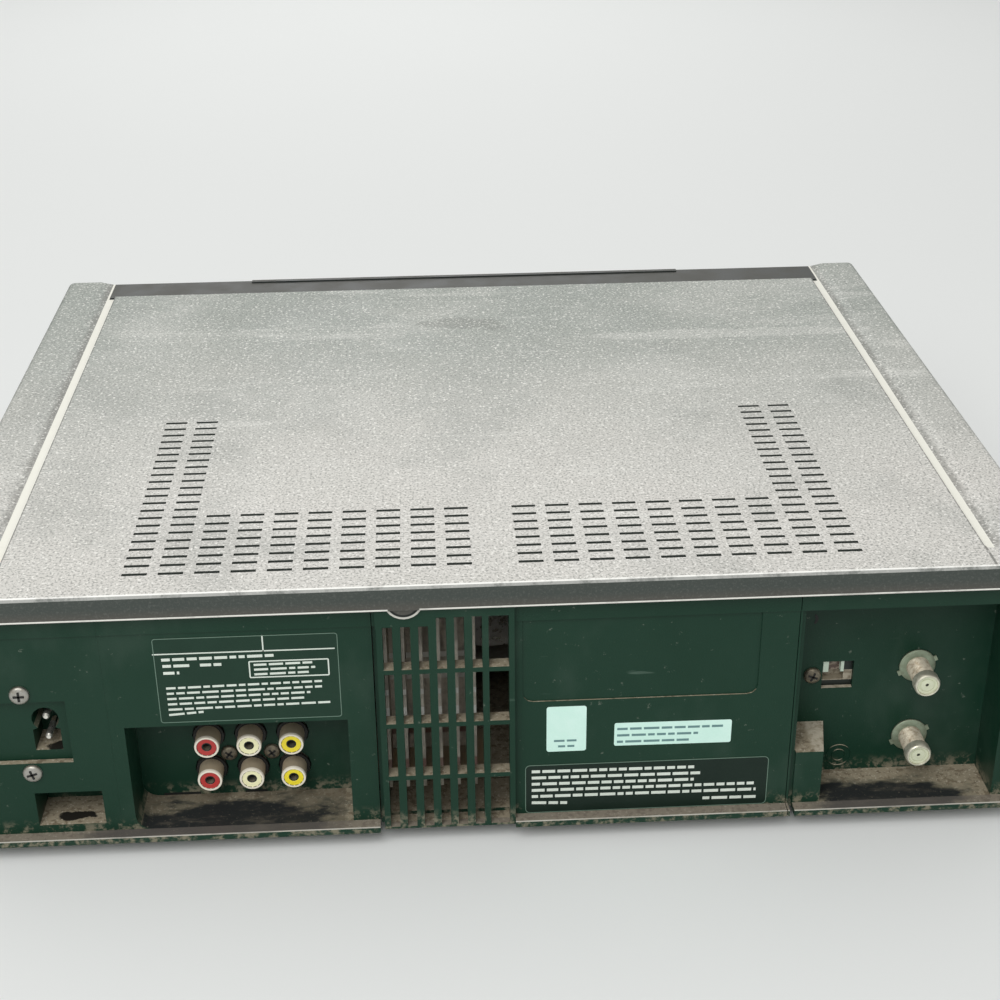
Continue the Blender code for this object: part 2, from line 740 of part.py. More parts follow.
def top_cover():
    tip_y = REAR_Y - GROOVE_REAR_INSET
    sections = [
        cover_section(FASCIA_FACE_Y, 1),
        cover_section(tip_y - GROOVE_RUN_OUT, 1),
        cover_section(tip_y - GROOVE_RUN_OUT / 2, GROOVE_MIDWAY_DEPTH_SHARE, GROOVE_MIDWAY_WIDTH_SHARE),
        cover_section(tip_y, 0, GROOVE_TIP_WIDTH_SHARE),
    ]
    lip_z = TOP_Z - LIP_HEIGHT
    fold_y = REAR_Y - LIP_FOLD_RADIUS
    inner_angle = math.degrees(math.asin(1 - SHEET / LIP_FOLD_RADIUS))
    roof_z = TOP_Z - SHEET
    turns = ((0, roof_z), (inner_angle, roof_z), (inner_angle, lip_z), (LIP_FOLD_MIDWAY, lip_z), (90, lip_z))
    for angle, under_z in turns:
        y = fold_y + LIP_FOLD_RADIUS * math.sin(math.radians(angle))
        drop = LIP_FOLD_RADIUS * (1 - math.cos(math.radians(angle)))
        sections.append(cover_section(y, 0, GROOVE_TIP_WIDTH_SHARE, drop, under_z))
    bm = bmesh.new()
    loft(bm, sections)
    bmesh.ops.remove_doubles(bm, verts=bm.verts, dist=WELD)
    bmesh.ops.recalc_face_normals(bm, faces=bm.faces)
    cover = add_object("top_cover", bm, painted_steel())

    notch = bmesh.new()
    block(notch, -WING_X, WING_X, FRONT_Y - OVERRUN, COVER_FRONT_Y, BASE_Z, TOP_Z + OVERRUN)
    cut(cover, "fascia_notch", notch)

    tongue = bmesh.new()
    tongue_rear = REAR_Y - TAB_SET_BACK
    outline = arc((TAB_X, lip_z + TAB_OVERLAP), TAB_RADIUS, 180, 360, PLAIN)
    prism(tongue, outline, "Y", tongue_rear - SHEET, tongue_rear)
    join(cover, "tongue", tongue)

    slots = bmesh.new()
    for x, y in slot_places():
        block(
            slots,
            x - SLOT_LENGTH / 2, x + SLOT_LENGTH / 2,
            y - SLOT_WIDTH / 2, y + SLOT_WIDTH / 2,
            TOP_Z - SHEET - OVERRUN, TOP_Z + OVERRUN,
        )
    cut(cover, "slots", slots)


# Bottom tray and feet


def foot_places():
    for side, x in (("left", -FOOT_X), ("right", FOOT_X)):
        for end, y in (("front", FRONT_Y + FOOT_FRONT_INSET), ("rear", REAR_Y - FOOT_REAR_INSET)):
            yield end + "_" + side, x, y


def board_posts():
    """Places of the pegs that carry the circuit boards."""
    for side in (-1, 1):
        for x in (BOARD_INNER_X + BOARD_POST_INSET, BOARD_OUTER_X - BOARD_POST_INSET):
            for y in (BOARD_REAR_Y - BOARD_POST_INSET, BOARD_REAR_Y - POWER_BOARD_DEPTH + BOARD_POST_INSET):
                yield side * x, y
    yield POWER_STRIP_END_X + BOARD_POST_INSET, BOARD_REAR_Y - BOARD_POST_INSET
    for x in (BOARD_INNER_X + BOARD_POST_INSET, BOARD_OUTER_X - BOARD_POST_INSET):
        yield -x, BOARD_REAR_Y - MAIN_BOARD_DEPTH + BOARD_POST_INSET


def bottom_tray():
    front = FASCIA_REAR_Y + FIT_GAP
    rear = REAR_FLOOR_Y - FIT_GAP
    rim_z = BASE_Z + TRAY_RIM_HEIGHT
    inner = INNER_HALF_WIDTH - TRAY_WALL
    bm = bmesh.new()
    outline = [
        (-INNER_HALF_WIDTH, BASE_Z), (INNER_HALF_WIDTH, BASE_Z), (INNER_HALF_WIDTH, rim_z), (inner, rim_z),
        (inner, TRAY_TOP_Z), (-inner, TRAY_TOP_Z), (-inner, rim_z), (-INNER_HALF_WIDTH, rim_z),
    ]
    prism(bm, outline, "Y", front, rear)
    tray = add_object("bottom_tray", bm, black_plastic())

    posts = bmesh.new()
    for x, y in board_posts():
        cylinder(posts, (x, y, 0), BOARD_POST_RADIUS, BASE_Z + TRAY_WALL / 2, BOARD_Z - FIT_GAP, steps=COARSE)
    join(tray, "board_posts", posts)

    openings = bmesh.new()
    for side in (-1, 1):
        for row in range(TRAY_VENT_ROWS):
            y = (row - (TRAY_VENT_ROWS - 1) / 2) * TRAY_VENT_PITCH
            half = TRAY_VENT_LENGTH / 2
            block(
                openings,
                side * TRAY_VENT_X - half, side * TRAY_VENT_X + half,
                y - TRAY_VENT_WIDTH / 2, y + TRAY_VENT_WIDTH / 2,
                BASE_Z - OVERRUN, TRAY_TOP_Z + OVERRUN,
            )
    for _, x, y in foot_places():
        cylinder(
            openings, (x, y, 0), FOOT_PEG_RADIUS + FIT_GAP, BASE_Z - OVERRUN, TRAY_TOP_Z + OVERRUN,
            steps=COARSE,
        )
    cut(tray, "openings", openings)


def feet():
    seat = BASE_Z - FIT_GAP
    rim = FOOT_RADIUS - FOOT_TAPER
    profile = [
        (0, FOOT_DISH_DEPTH), (FOOT_DISH_RADIUS, FOOT_DISH_DEPTH), (FOOT_DISH_RADIUS + FOOT_DISH_DEPTH, 0),
        (rim, 0), (FOOT_RADIUS, seat), (FOOT_PEG_RADIUS, seat), (FOOT_PEG_RADIUS, TRAY_TOP_Z + FIT_GAP),
        (0, TRAY_TOP_Z + FIT_GAP),
    ]
    for label, x, y in foot_places():
        bm = bmesh.new()
        lathe(bm, profile, (x, y, 0))
        add_object("foot_" + label, bm, rubber())


# Rear panel


def jack_places():
    for column in range(JACK_COLUMNS):
        for row in range(JACK_ROWS):
            yield column, JACK_FIRST_X + column * JACK_PITCH_X, JACK_LOWER_Z + row * JACK_PITCH_Z


def jack_bay_outline():
    """The jack bay from behind, with one round corner, and open at its foot."""
    centre_x = JACK_BAY_RIGHT_X - JACK_BAY_CORNER
    outline = [(JACK_BAY_LEFT_X, BASE_Z), (centre_x, BASE_Z)]
    outline += arc((centre_x, LEDGE_TOP_Z + JACK_BAY_CORNER), JACK_BAY_CORNER, JACK_BAY_CORNER_START, 360, 4)
    return outline + [(JACK_BAY_RIGHT_X, JACK_BAY_TOP_Z), (JACK_BAY_LEFT_X, JACK_BAY_TOP_Z)]


def rear_section(name, left_x, right_x):
    """One upright section of the rear panel with its band, before its ledge."""
    bm = bmesh.new()
    block(bm, left_x, right_x, PANEL_INNER_Y, PANEL_Y, SECTION_FOOT_Z, PANEL_TOP_Z)
    section = add_object(name, bm, black_plastic())
    band = bmesh.new()
    block(band, left_x, right_x, PANEL_INNER_Y, PANEL_Y + BAND_PROUD, BAND_Z, PANEL_TOP_Z)
    join(section, "band", band)
    return section


def add_ledge(section, left_x, right_x):
    ledge = bmesh.new()
    block(ledge, left_x, right_x, REAR_FLOOR_Y, REAR_Y, BASE_Z, LEDGE_TOP_Z)
    join(section, "ledge", ledge)


def add_recess(section, left_x, right_x, foot_z, top_z, wall_y, cavity):
    """Walls behind the panel round a cavity that is drawn in x and z and is open to the rear."""
    walls = bmesh.new()
    front = PANEL_Y - MOULDED_WALL / 2
    block(walls, left_x - BAY_WALL, right_x + BAY_WALL, wall_y - BAY_WALL, front, foot_z, top_z + BAY_WALL)
    join(section, "walls", walls)
    space = bmesh.new()
    prism(space, cavity, "Y", wall_y, PANEL_Y + OVERRUN)
    cut(section, "cavity", space)


def cut_groove(section, x):
    groove = bmesh.new()
    block(
        groove, x - FIT_GAP, x + GROOVE_CUT_WIDTH,
        PANEL_Y - GROOVE_CUT_DEPTH, REAR_Y + OVERRUN, BASE_Z - OVERRUN, BAND_Z,
    )
    cut(section, "groove", groove)


def rear_panel():
    """The middle section, with the frame for the plates and the grille."""
    panel = rear_section("rear_panel", AERIAL_SEAM_X, GRILLE_SEAM_X)
    add_ledge(panel, AERIAL_SEAM_X, GRILLE_SEAM_X)
    grille = bmesh.new()
    block(grille, GRILLE_LEFT_X, GRILLE_RIGHT_X, PANEL_INNER_Y, GRILLE_Y, BASE_Z, GRILLE_TOP_Z)
    join(panel, "grille", grille)
    face = bmesh.new()
    block(face, GRILLE_LEFT_X, GRILLE_RIGHT_X, GRILLE_Y, REAR_Y + OVERRUN, BASE_Z - OVERRUN, BAND_Z)
    cut(panel, "grille_face", face)
    cut_groove(panel, GRILLE_RIGHT_X)
    frame = bmesh.new()
    radius = FRAME_CORNER
    outline = arc((FRAME_LEFT_X + radius, FRAME_BOTTOM_Z + radius), radius, 180, 270, QUARTER_TURN_STEPS)
    outline += arc((FRAME_RIGHT_X - radius, FRAME_BOTTOM_Z + radius), radius, 270, 360, QUARTER_TURN_STEPS)
    outline += [(FRAME_RIGHT_X, BAND_Z), (FRAME_LEFT_X, BAND_Z)]
    prism(frame, outline, "Y", PANEL_Y - FRAME_DEPTH, PANEL_Y + OVERRUN)
    cut(panel, "frame", frame)
    cut(panel, "grille_slots", grille_slots())


def jack_recess():
    """The section with the bay of the audio and video sockets."""
    left_x = GRILLE_SEAM_X + FIT_GAP
    right_x = INLET_SEAM_X - FIT_GAP
    section = rear_section("jack_recess", left_x, right_x)
    add_recess(
        section, JACK_BAY_LEFT_X, JACK_BAY_RIGHT_X, SECTION_FOOT_Z, JACK_BAY_TOP_Z,
        JACK_WALL_Y, jack_bay_outline(),
    )
    add_ledge(section, left_x, right_x)
    holes = bmesh.new()
    for _, x, z in jack_places():
        cylinder(holes, (x, JACK_WALL_Y, z), JACK_HOLE_RADIUS, -BAY_WALL - OVERRUN, OVERRUN, "Y")
    cut(section, "jack_holes", holes)


def aerial_recess():
    """The section with the bay of the aerial sockets, which has a block in its inner corner."""
    left_x = -INNER_HALF_WIDTH
    right_x = AERIAL_SEAM_X - FIT_GAP
    section = rear_section("aerial_recess", left_x, right_x)
    add_recess(
        section, RF_BAY_LEFT_X, RF_BAY_RIGHT_X, SECTION_FOOT_Z, BAND_Z,
        RF_WALL_Y, rectangle(RF_BAY_LEFT_X, RF_BAY_RIGHT_X, BASE_Z, BAND_Z),
    )
    corner = bmesh.new()
    block_x = RF_BAY_RIGHT_X - RF_BLOCK_WIDTH
    side_x = RF_BAY_RIGHT_X + BAY_WALL / 2
    back = RF_WALL_Y - BAY_WALL / 2
    outline = [(side_x, back), (side_x, PANEL_Y), (block_x, PANEL_Y), (block_x - RF_BLOCK_FLARE, back)]
    prism(corner, outline, "Z", SECTION_FOOT_Z, RF_BLOCK_TOP_Z)
    join(section, "corner_block", corner)
    add_ledge(section, left_x, right_x)
    cut_groove(section, RF_BAY_RIGHT_X)
    holes = bmesh.new()
    for z in (AERIAL_UPPER_Z, AERIAL_LOWER_Z):
        cylinder(holes, (AERIAL_X, RF_WALL_Y, z), AERIAL_HOLE_RADIUS, -BAY_WALL - OVERRUN, OVERRUN, "Y")
    half_width = SWITCH_WINDOW_WIDTH / 2
    half_height = SWITCH_WINDOW_HEIGHT / 2
    block(
        holes,
        SWITCH_X - half_width, SWITCH_X + half_width, RF_WALL_Y - BAY_WALL - OVERRUN, RF_WALL_Y + OVERRUN,
        SWITCH_Z - half_height, SWITCH_Z + half_height,
    )
    cut(section, "aerial_holes", holes)


def cord_recess():
    """The end section, with the window of the mains inlet and the pocket for its cord."""
    section = rear_section("cord_recess", INLET_SEAM_X, INNER_HALF_WIDTH)
    add_recess(
        section, POCKET_LEFT_X, POCKET_RIGHT_X, POCKET_FLOOR_Z - BAY_WALL, POCKET_TOP_Z,
        PANEL_Y - POCKET_DEPTH, rectangle(POCKET_LEFT_X, POCKET_RIGHT_X, POCKET_FLOOR_Z, POCKET_TOP_Z),
    )
    add_ledge(section, INLET_SEAM_X, INNER_HALF_WIDTH)
    window = bmesh.new()
    block(
        window, INLET_LEFT_X, INLET_RIGHT_X, PANEL_INNER_Y - OVERRUN, PANEL_Y + OVERRUN,
        INLET_BOTTOM_Z, INLET_TOP_Z,
    )
    cut(section, "window", window)


def grille_slots():
    """The lattice's gaps: narrow columns, one wide column, all crossed by thin bars."""
    bm = bmesh.new()
    columns = [(GRILLE_FIRST_X - k * GRILLE_PITCH, GRILLE_SLOT_WIDTH) for k in range(GRILLE_COLUMNS)]
    columns.append((GRILLE_WIDE_X, GRILLE_WIDE_WIDTH))
    low = BASE_Z + GRILLE_BOTTOM_MARGIN
    row_height = (GRILLE_TOP_Z - GRILLE_TOP_MARGIN - low - (GRILLE_ROWS - 1) * GRILLE_BAR) / GRILLE_ROWS
    for x, width in columns:
        for row in range(GRILLE_ROWS):
            z = low + row * (row_height + GRILLE_BAR)
            top = z + row_height
            if row == GRILLE_ROWS - 1 and x > TAB_X - TAB_RADIUS:
                top -= GRILLE_TAB_DROP
            block(bm, x - width / 2, x + width / 2, PANEL_INNER_Y - OVERRUN, REAR_Y, z, top)
    return bm


def ac_inlet():
    half_width = (INLET_RIGHT_X - INLET_LEFT_X) / 2 + INLET_MARGIN
    half_height = INLET_EAR_Z_SPREAD + INLET_EAR_MARGIN
    bm = bmesh.new()
    prism(
        bm,
        rounded_rectangle(
            INLET_X - half_width, INLET_X + half_width, INLET_Z - half_height, INLET_Z + half_height,
            INLET_MARGIN,
        ),
        "Y", INLET_FLANGE_Y - INLET_FLANGE, INLET_FLANGE_Y,
    )
    inlet = add_object("ac_inlet", bm, black_plastic())
    body = bmesh.new()
    body_half = (INLET_TOP_Z - INLET_BOTTOM_Z) / 2
    block(
        body,
        INLET_LEFT_X, INLET_RIGHT_X, INLET_FLANGE_Y - INLET_BODY_DEPTH, INLET_FLANGE_Y - INLET_FLANGE / 2,
        INLET_Z - body_half, INLET_Z + body_half,
    )
    join(inlet, "body", body)

    socket = bmesh.new()
    half = INLET_SOCKET_WIDTH / 2
    foot_z = INLET_Z - INLET_SOCKET_HEIGHT / 2
    crown_z = INLET_Z + INLET_SOCKET_HEIGHT / 2 - half
    shoulder_z = foot_z + INLET_SOCKET_WIDTH * INLET_FOOT_SHARE
    foot = rectangle(INLET_SOCKET_X - half, INLET_SOCKET_X + half, foot_z, shoulder_z)
    turn = INLET_CROWN_HALF_ANGLE
    crown = arc((INLET_SOCKET_X, crown_z), half, 90 - turn, 90 + turn, PLAIN)
    outline = foot[:3] + crown + foot[3:]
    prism(socket, outline, "Y", INLET_FLANGE_Y - INLET_SOCKET_DEPTH, INLET_FLANGE_Y + OVERRUN)
    cut(inlet, "socket", socket)

    pins = bmesh.new()
    seat = INLET_FLANGE_Y - INLET_SOCKET_DEPTH
    tip = seat + INLET_PIN_LENGTH
    profile = [
        (0, seat - OVERRUN), (INLET_PIN_RADIUS, seat - OVERRUN), (INLET_PIN_RADIUS, tip - INLET_PIN_RADIUS),
        (INLET_PIN_RADIUS * INLET_PIN_TIP_SHARE, tip), (0, tip),
    ]
    for side in (-1, 1):
        z = INLET_Z + side * INLET_PIN_SPACING / 2
        lathe(pins, profile, (INLET_SOCKET_X, 0, z), "Y", COARSE)
    join(inlet, "pins", pins)


def phono_profile(seat, tip, radius):
    """A phono socket from its root at seat: a thin sleeve round an insert with a contact hole."""
    bore = radius - JACK_SLEEVE_WALL
    front = tip - JACK_INSERT_RECESS
    return [
        (0, seat), (radius, seat), (radius, tip), (bore, tip), (bore, front),
        (JACK_CONTACT_RADIUS, front), (JACK_CONTACT_RADIUS, front - JACK_CONTACT_DEPTH),
        (0, front - JACK_CONTACT_DEPTH),
    ]


def jack_block():
    face = JACK_WALL_Y - BAY_WALL - FIT_GAP
    last_x = JACK_FIRST_X + (JACK_COLUMNS - 1) * JACK_PITCH_X
    last_z = JACK_LOWER_Z + (JACK_ROWS - 1) * JACK_PITCH_Z
    bm = bmesh.new()
    block(
        bm,
        JACK_FIRST_X - JACK_BLOCK_MARGIN, last_x + JACK_BLOCK_MARGIN, face - JACK_BLOCK_DEPTH, face,
        BOARD_TOP_Z + FIT_GAP, last_z + JACK_BLOCK_MARGIN,
    )
    carrier = add_object("jack_block", bm, black_plastic())
    collars = bmesh.new()
    sleeves = bmesh.new()
    collar_face = BAY_WALL + JACK_COLLAR_REACH
    profile = phono_profile(face, JACK_WALL_Y + JACK_SLEEVE_REACH, JACK_SLEEVE_RADIUS)
    for _, x, z in jack_places():
        cylinder(collars, (x, face, z), JACK_COLLAR_RADIUS, -OVERRUN, collar_face, "Y")
        lathe(sleeves, profile, (x, 0, z), "Y")
    join(carrier, "collars", collars)
    join(carrier, "sleeves", sleeves)


# Aerial unit


def rf_unit():
    face = RF_WALL_Y - BAY_WALL - FIT_GAP
    bottom = BOARD_TOP_Z + FIT_GAP
    bm = bmesh.new()
    block(bm, RF_CAN_LEFT_X, RF_CAN_RIGHT_X, face - RF_CAN_DEPTH, face, bottom, RF_CAN_TOP_Z)
    can = add_object("rf_can", bm, plated_steel())
    cuts = bmesh.new()
    block(
        cuts,
        SWITCH_X - SWITCH_BODY_WIDTH / 2 - FIT_GAP, SWITCH_X + SWITCH_BODY_WIDTH / 2 + FIT_GAP,
        face - SWITCH_BODY_DEPTH, face + OVERRUN,
        SWITCH_Z - SWITCH_BODY_HEIGHT / 2 - FIT_GAP, SWITCH_Z + SWITCH_BODY_HEIGHT / 2 + FIT_GAP,
    )
    for z in (AERIAL_UPPER_Z, AERIAL_LOWER_Z):
        cylinder(cuts, (AERIAL_X, face, z), AERIAL_RADIUS + FIT_GAP, -AERIAL_SEAT_DEPTH, OVERRUN, "Y")
    cut(can, "openings", cuts)

    lid = bmesh.new()
    skirt_z = RF_CAN_TOP_Z - RF_LID_SKIRT
    gap = FIT_GAP
    front = face - RF_CAN_DEPTH
    outline = [
        (RF_CAN_LEFT_X - gap - RF_CAN_SHELL, skirt_z), (RF_CAN_LEFT_X - gap, skirt_z),
        (RF_CAN_LEFT_X - gap, RF_CAN_TOP_Z + gap), (RF_CAN_RIGHT_X + gap, RF_CAN_TOP_Z + gap),
        (RF_CAN_RIGHT_X + gap, skirt_z), (RF_CAN_RIGHT_X + gap + RF_CAN_SHELL, skirt_z),
        (RF_CAN_RIGHT_X + gap + RF_CAN_SHELL, RF_CAN_TOP_Z + gap + RF_CAN_SHELL),
        (RF_CAN_LEFT_X - gap - RF_CAN_SHELL, RF_CAN_TOP_Z + gap + RF_CAN_SHELL),
    ]
    prism(lid, outline, "Y", front, face)
    add_object("rf_can_lid", lid, plated_steel())

    for label, z in (("upper", AERIAL_UPPER_Z), ("lower", AERIAL_LOWER_Z)):
        seat = face - AERIAL_SEAT_DEPTH + FIT_GAP
        collar = face + FIT_GAP
        tip = RF_WALL_Y + AERIAL_REACH
        mouth = tip - AERIAL_MOUTH_DEPTH
        profile = [
            (0, seat), (AERIAL_RADIUS, seat), (AERIAL_RADIUS, collar), (AERIAL_COLLAR_RADIUS, collar),
            (AERIAL_COLLAR_RADIUS, collar + AERIAL_COLLAR_REACH),
            (AERIAL_RADIUS, collar + AERIAL_COLLAR_REACH), (AERIAL_RADIUS, tip - AERIAL_CHAMFER),
            (AERIAL_RADIUS - AERIAL_CHAMFER, tip), (AERIAL_MOUTH_RADIUS, tip), (AERIAL_MOUTH_RADIUS, mouth),
            (AERIAL_CONTACT_RADIUS, mouth), (AERIAL_CONTACT_RADIUS, mouth - AERIAL_CONTACT_DEPTH),
            (0, mouth - AERIAL_CONTACT_DEPTH),
        ]
        socket = bmesh.new()
        lathe(socket, profile, (AERIAL_X, 0, z), "Y")
        add_object("aerial_socket_" + label, socket, plated_steel())


def channel_switch():
    face = RF_WALL_Y - BAY_WALL - FIT_GAP
    back = face - SWITCH_BODY_DEPTH + FIT_GAP
    half_width = SWITCH_BODY_WIDTH / 2
    half_height = SWITCH_BODY_HEIGHT / 2
    bm = bmesh.new()
    block(
        bm,
        SWITCH_X - half_width, SWITCH_X + half_width, back, face,
        SWITCH_Z - half_height, SWITCH_Z + half_height,
    )
    body = add_object("channel_switch_body", bm, black_plastic())
    left = SWITCH_KNOB_X - SWITCH_KNOB_WIDTH / 2
    right = SWITCH_KNOB_X + SWITCH_KNOB_WIDTH / 2
    high = SWITCH_Z + SWITCH_WINDOW_HEIGHT / 2
    low = high - SWITCH_KNOB_HEIGHT - SWITCH_TRAVEL - 2 * FIT_GAP
    floor = back + SWITCH_WALL
    track = bmesh.new()
    block(track, left - FIT_GAP, right + FIT_GAP, floor, RF_WALL_Y, low, high)
    cut(body, "track", track)

    tip = RF_WALL_Y - SWITCH_KNOB_SET_BACK
    root = floor + FIT_GAP
    grip = tip - SWITCH_GRIP_DEPTH
    grip_left = SWITCH_GRIP_X - SWITCH_GRIP_WIDTH / 2
    grip_right = SWITCH_GRIP_X + SWITCH_GRIP_WIDTH / 2
    outline = [
        (left, root), (right, root), (right, tip), (grip_right, tip),
        (grip_right, grip), (grip_left, grip), (grip_left, tip), (left, tip),
    ]
    top = high - FIT_GAP
    knob = bmesh.new()
    prism(knob, outline, "Z", top - SWITCH_KNOB_HEIGHT, top)
    middle = top - SWITCH_KNOB_HEIGHT / 2
    add_object("channel_switch_knob", knob, white_plastic(), (SWITCH_KNOB_X, tip, middle))


# Boards and what stands on them


def board(name, outline):
    bm = bmesh.new()
    prism(bm, outline, "Z", BOARD_Z, BOARD_TOP_Z)
    return add_object(name, bm, circuit_board())


def boards():
    front = BOARD_REAR_Y - MAIN_BOARD_DEPTH
    board("main_board", rectangle(-BOARD_OUTER_X, -BOARD_INNER_X, front, BOARD_REAR_Y))
    front = BOARD_REAR_Y - POWER_BOARD_DEPTH
    strip = BOARD_REAR_Y - POWER_STRIP_DEPTH
    return board("power_board", [
        (BOARD_INNER_X, front), (BOARD_OUTER_X, front), (BOARD_OUTER_X, BOARD_REAR_Y),
        (POWER_STRIP_END_X, BOARD_REAR_Y), (POWER_STRIP_END_X, strip), (BOARD_INNER_X, strip),
    ])


def heat_sink():
    """A comb of upright fins on a back plate, close behind the grille."""
    seat = BOARD_TOP_Z + FIT_GAP
    rear = BOARD_REAR_Y + HEAT_SINK_OVERHANG
    back = rear - HEAT_SINK_DEPTH
    left = HEAT_SINK_X - HEAT_SINK_WIDTH / 2
    pitch = (HEAT_SINK_WIDTH - HEAT_SINK_FIN) / (HEAT_SINK_FINS - 1)
    root = back + HEAT_SINK_BACK
    comb = []
    for k in reversed(range(HEAT_SINK_FINS)):
        x = left + k * pitch
        comb += [(x + HEAT_SINK_FIN, root), (x + HEAT_SINK_FIN, rear), (x, rear), (x, root)]
    outline = [(left, back), (left + HEAT_SINK_WIDTH, back)] + comb[1:-1]
    bm = bmesh.new()
    prism(bm, outline, "Z", seat, HEAT_SINK_TOP_Z)
    add_object("heat_sink", bm, plated_steel())


def power_parts(carrier):
    seat = BOARD_TOP_Z + FIT_GAP
    middle_y = BOARD_REAR_Y - POWER_STRIP_DEPTH - CORE_DEPTH / 2 - CORE_MARGIN
    middle_z = seat + CORE_HEIGHT / 2
    window = CORE_WIDTH * CORE_WINDOW_SHARE / 2
    limb = CORE_WIDTH / 2 - window
    half_height = CORE_HEIGHT / 2
    bm = bmesh.new()
    block(
        bm, CORE_X - CORE_WIDTH / 2, CORE_X + CORE_WIDTH / 2, middle_y - CORE_DEPTH / 2,
        middle_y + CORE_DEPTH / 2, seat, seat + CORE_HEIGHT,
    )
    core = add_object("transformer_core", bm, plated_steel())
    hole = bmesh.new()
    block(
        hole, CORE_X - window, CORE_X + window, middle_y - CORE_DEPTH, middle_y + CORE_DEPTH,
        middle_z - half_height + limb, middle_z + half_height - limb,
    )
    cut(core, "window", hole)
    winding = bmesh.new()
    reach = CORE_DEPTH / 2 + BOBBIN_BULGE
    half_width = window - FIT_GAP
    half_rise = half_height - limb - FIT_GAP
    sections = []
    shrink = BOBBIN_BULGE / 2
    for y, inset in ((-reach, shrink), (-reach + shrink, 0), (reach - shrink, 0), (reach, shrink)):
        outline = rectangle(
            CORE_X - half_width + inset, CORE_X + half_width - inset, middle_z - half_rise + inset,
            middle_z + half_rise - inset,
        )
        sections.append([(x, middle_y + y, z) for x, z in outline])
    loft(winding, sections)
    add_object("transformer_winding", winding, copper())

    shoulder = CAPACITOR_RADIUS * CAPACITOR_SHOULDER_SHARE
    top = seat + CAPACITOR_HEIGHT
    root = BOARD_Z + BOARD_THICKNESS / 2
    profile = [
        (0, root), (CAPACITOR_RADIUS, root), (CAPACITOR_RADIUS, top - shoulder),
        (CAPACITOR_RADIUS - shoulder, top), (0, top),
    ]
    capacitors = bmesh.new()
    first_y = middle_y - CORE_DEPTH / 2 - CORE_MARGIN - BOBBIN_BULGE - CAPACITOR_PITCH / 2
    for k in range(CAPACITOR_COUNT):
        y = first_y - k * CAPACITOR_PITCH
        lathe(capacitors, profile, (CORE_X, y, 0))
    join(carrier, "capacitors", capacitors)


# Tape deck


def deck_holes():
    """Each round hole in the deck: x, y and radius."""
    for side in (-1, 1):
        yield side * REEL_X, REEL_Y, REEL_JOURNAL_RADIUS + FIT_GAP
    yield CAPSTAN_X, CAPSTAN_Y, BEARING_RADIUS + FIT_GAP
    yield CLUTCH_X, CLUTCH_Y, CLUTCH_SHAFT_RADIUS + FIT_GAP
    yield PINCH_PIVOT_X, PINCH_PIVOT_Y, PINCH_PIN_RADIUS + FIT_GAP


def mech_deck():
    bm = bmesh.new()
    outline = rounded_rectangle(-DECK_HALF_WIDTH, DECK_HALF_WIDTH, DECK_FRONT_Y, DECK_REAR_Y, DECK_CORNER)
    prism(bm, outline, "Z", DECK_Z, DECK_TOP_Z)
    deck = add_object("mech_deck", bm, plated_steel())
    legs = bmesh.new()
    for side in (-1, 1):
        for y in (DECK_FRONT_Y + DECK_LEG_INSET, DECK_REAR_Y - DECK_LEG_INSET):
            x = side * (DECK_HALF_WIDTH - DECK_LEG_INSET)
            block(
                legs, x - DECK_LEG_WIDTH / 2, x + DECK_LEG_WIDTH / 2, y - DECK_LEG_THICKNESS / 2,
                y + DECK_LEG_THICKNESS / 2, TRAY_TOP_Z + FIT_GAP, DECK_Z + DECK_SHEET / 2,
            )
    join(deck, "legs", legs)
    holes = bmesh.new()
    for x, y, radius in deck_holes():
        cylinder(holes, (x, y, 0), radius, DECK_Z - OVERRUN, DECK_TOP_Z + OVERRUN)
    for side in (-1, 1):
        x = side * GUIDE_X
        width = GUIDE_KEY_WIDTH + 2 * FIT_GAP
        end = GUIDE_Y + GUIDE_TRAVEL
        reach = (GUIDE_KEY_LENGTH - GUIDE_KEY_WIDTH) / 2 + FIT_GAP
        outline = stadium((x, GUIDE_Y - reach), (x, end + reach), width)
        prism(holes, outline, "Z", DECK_Z - OVERRUN, DECK_TOP_Z + OVERRUN)
    cut(deck, "holes", holes)


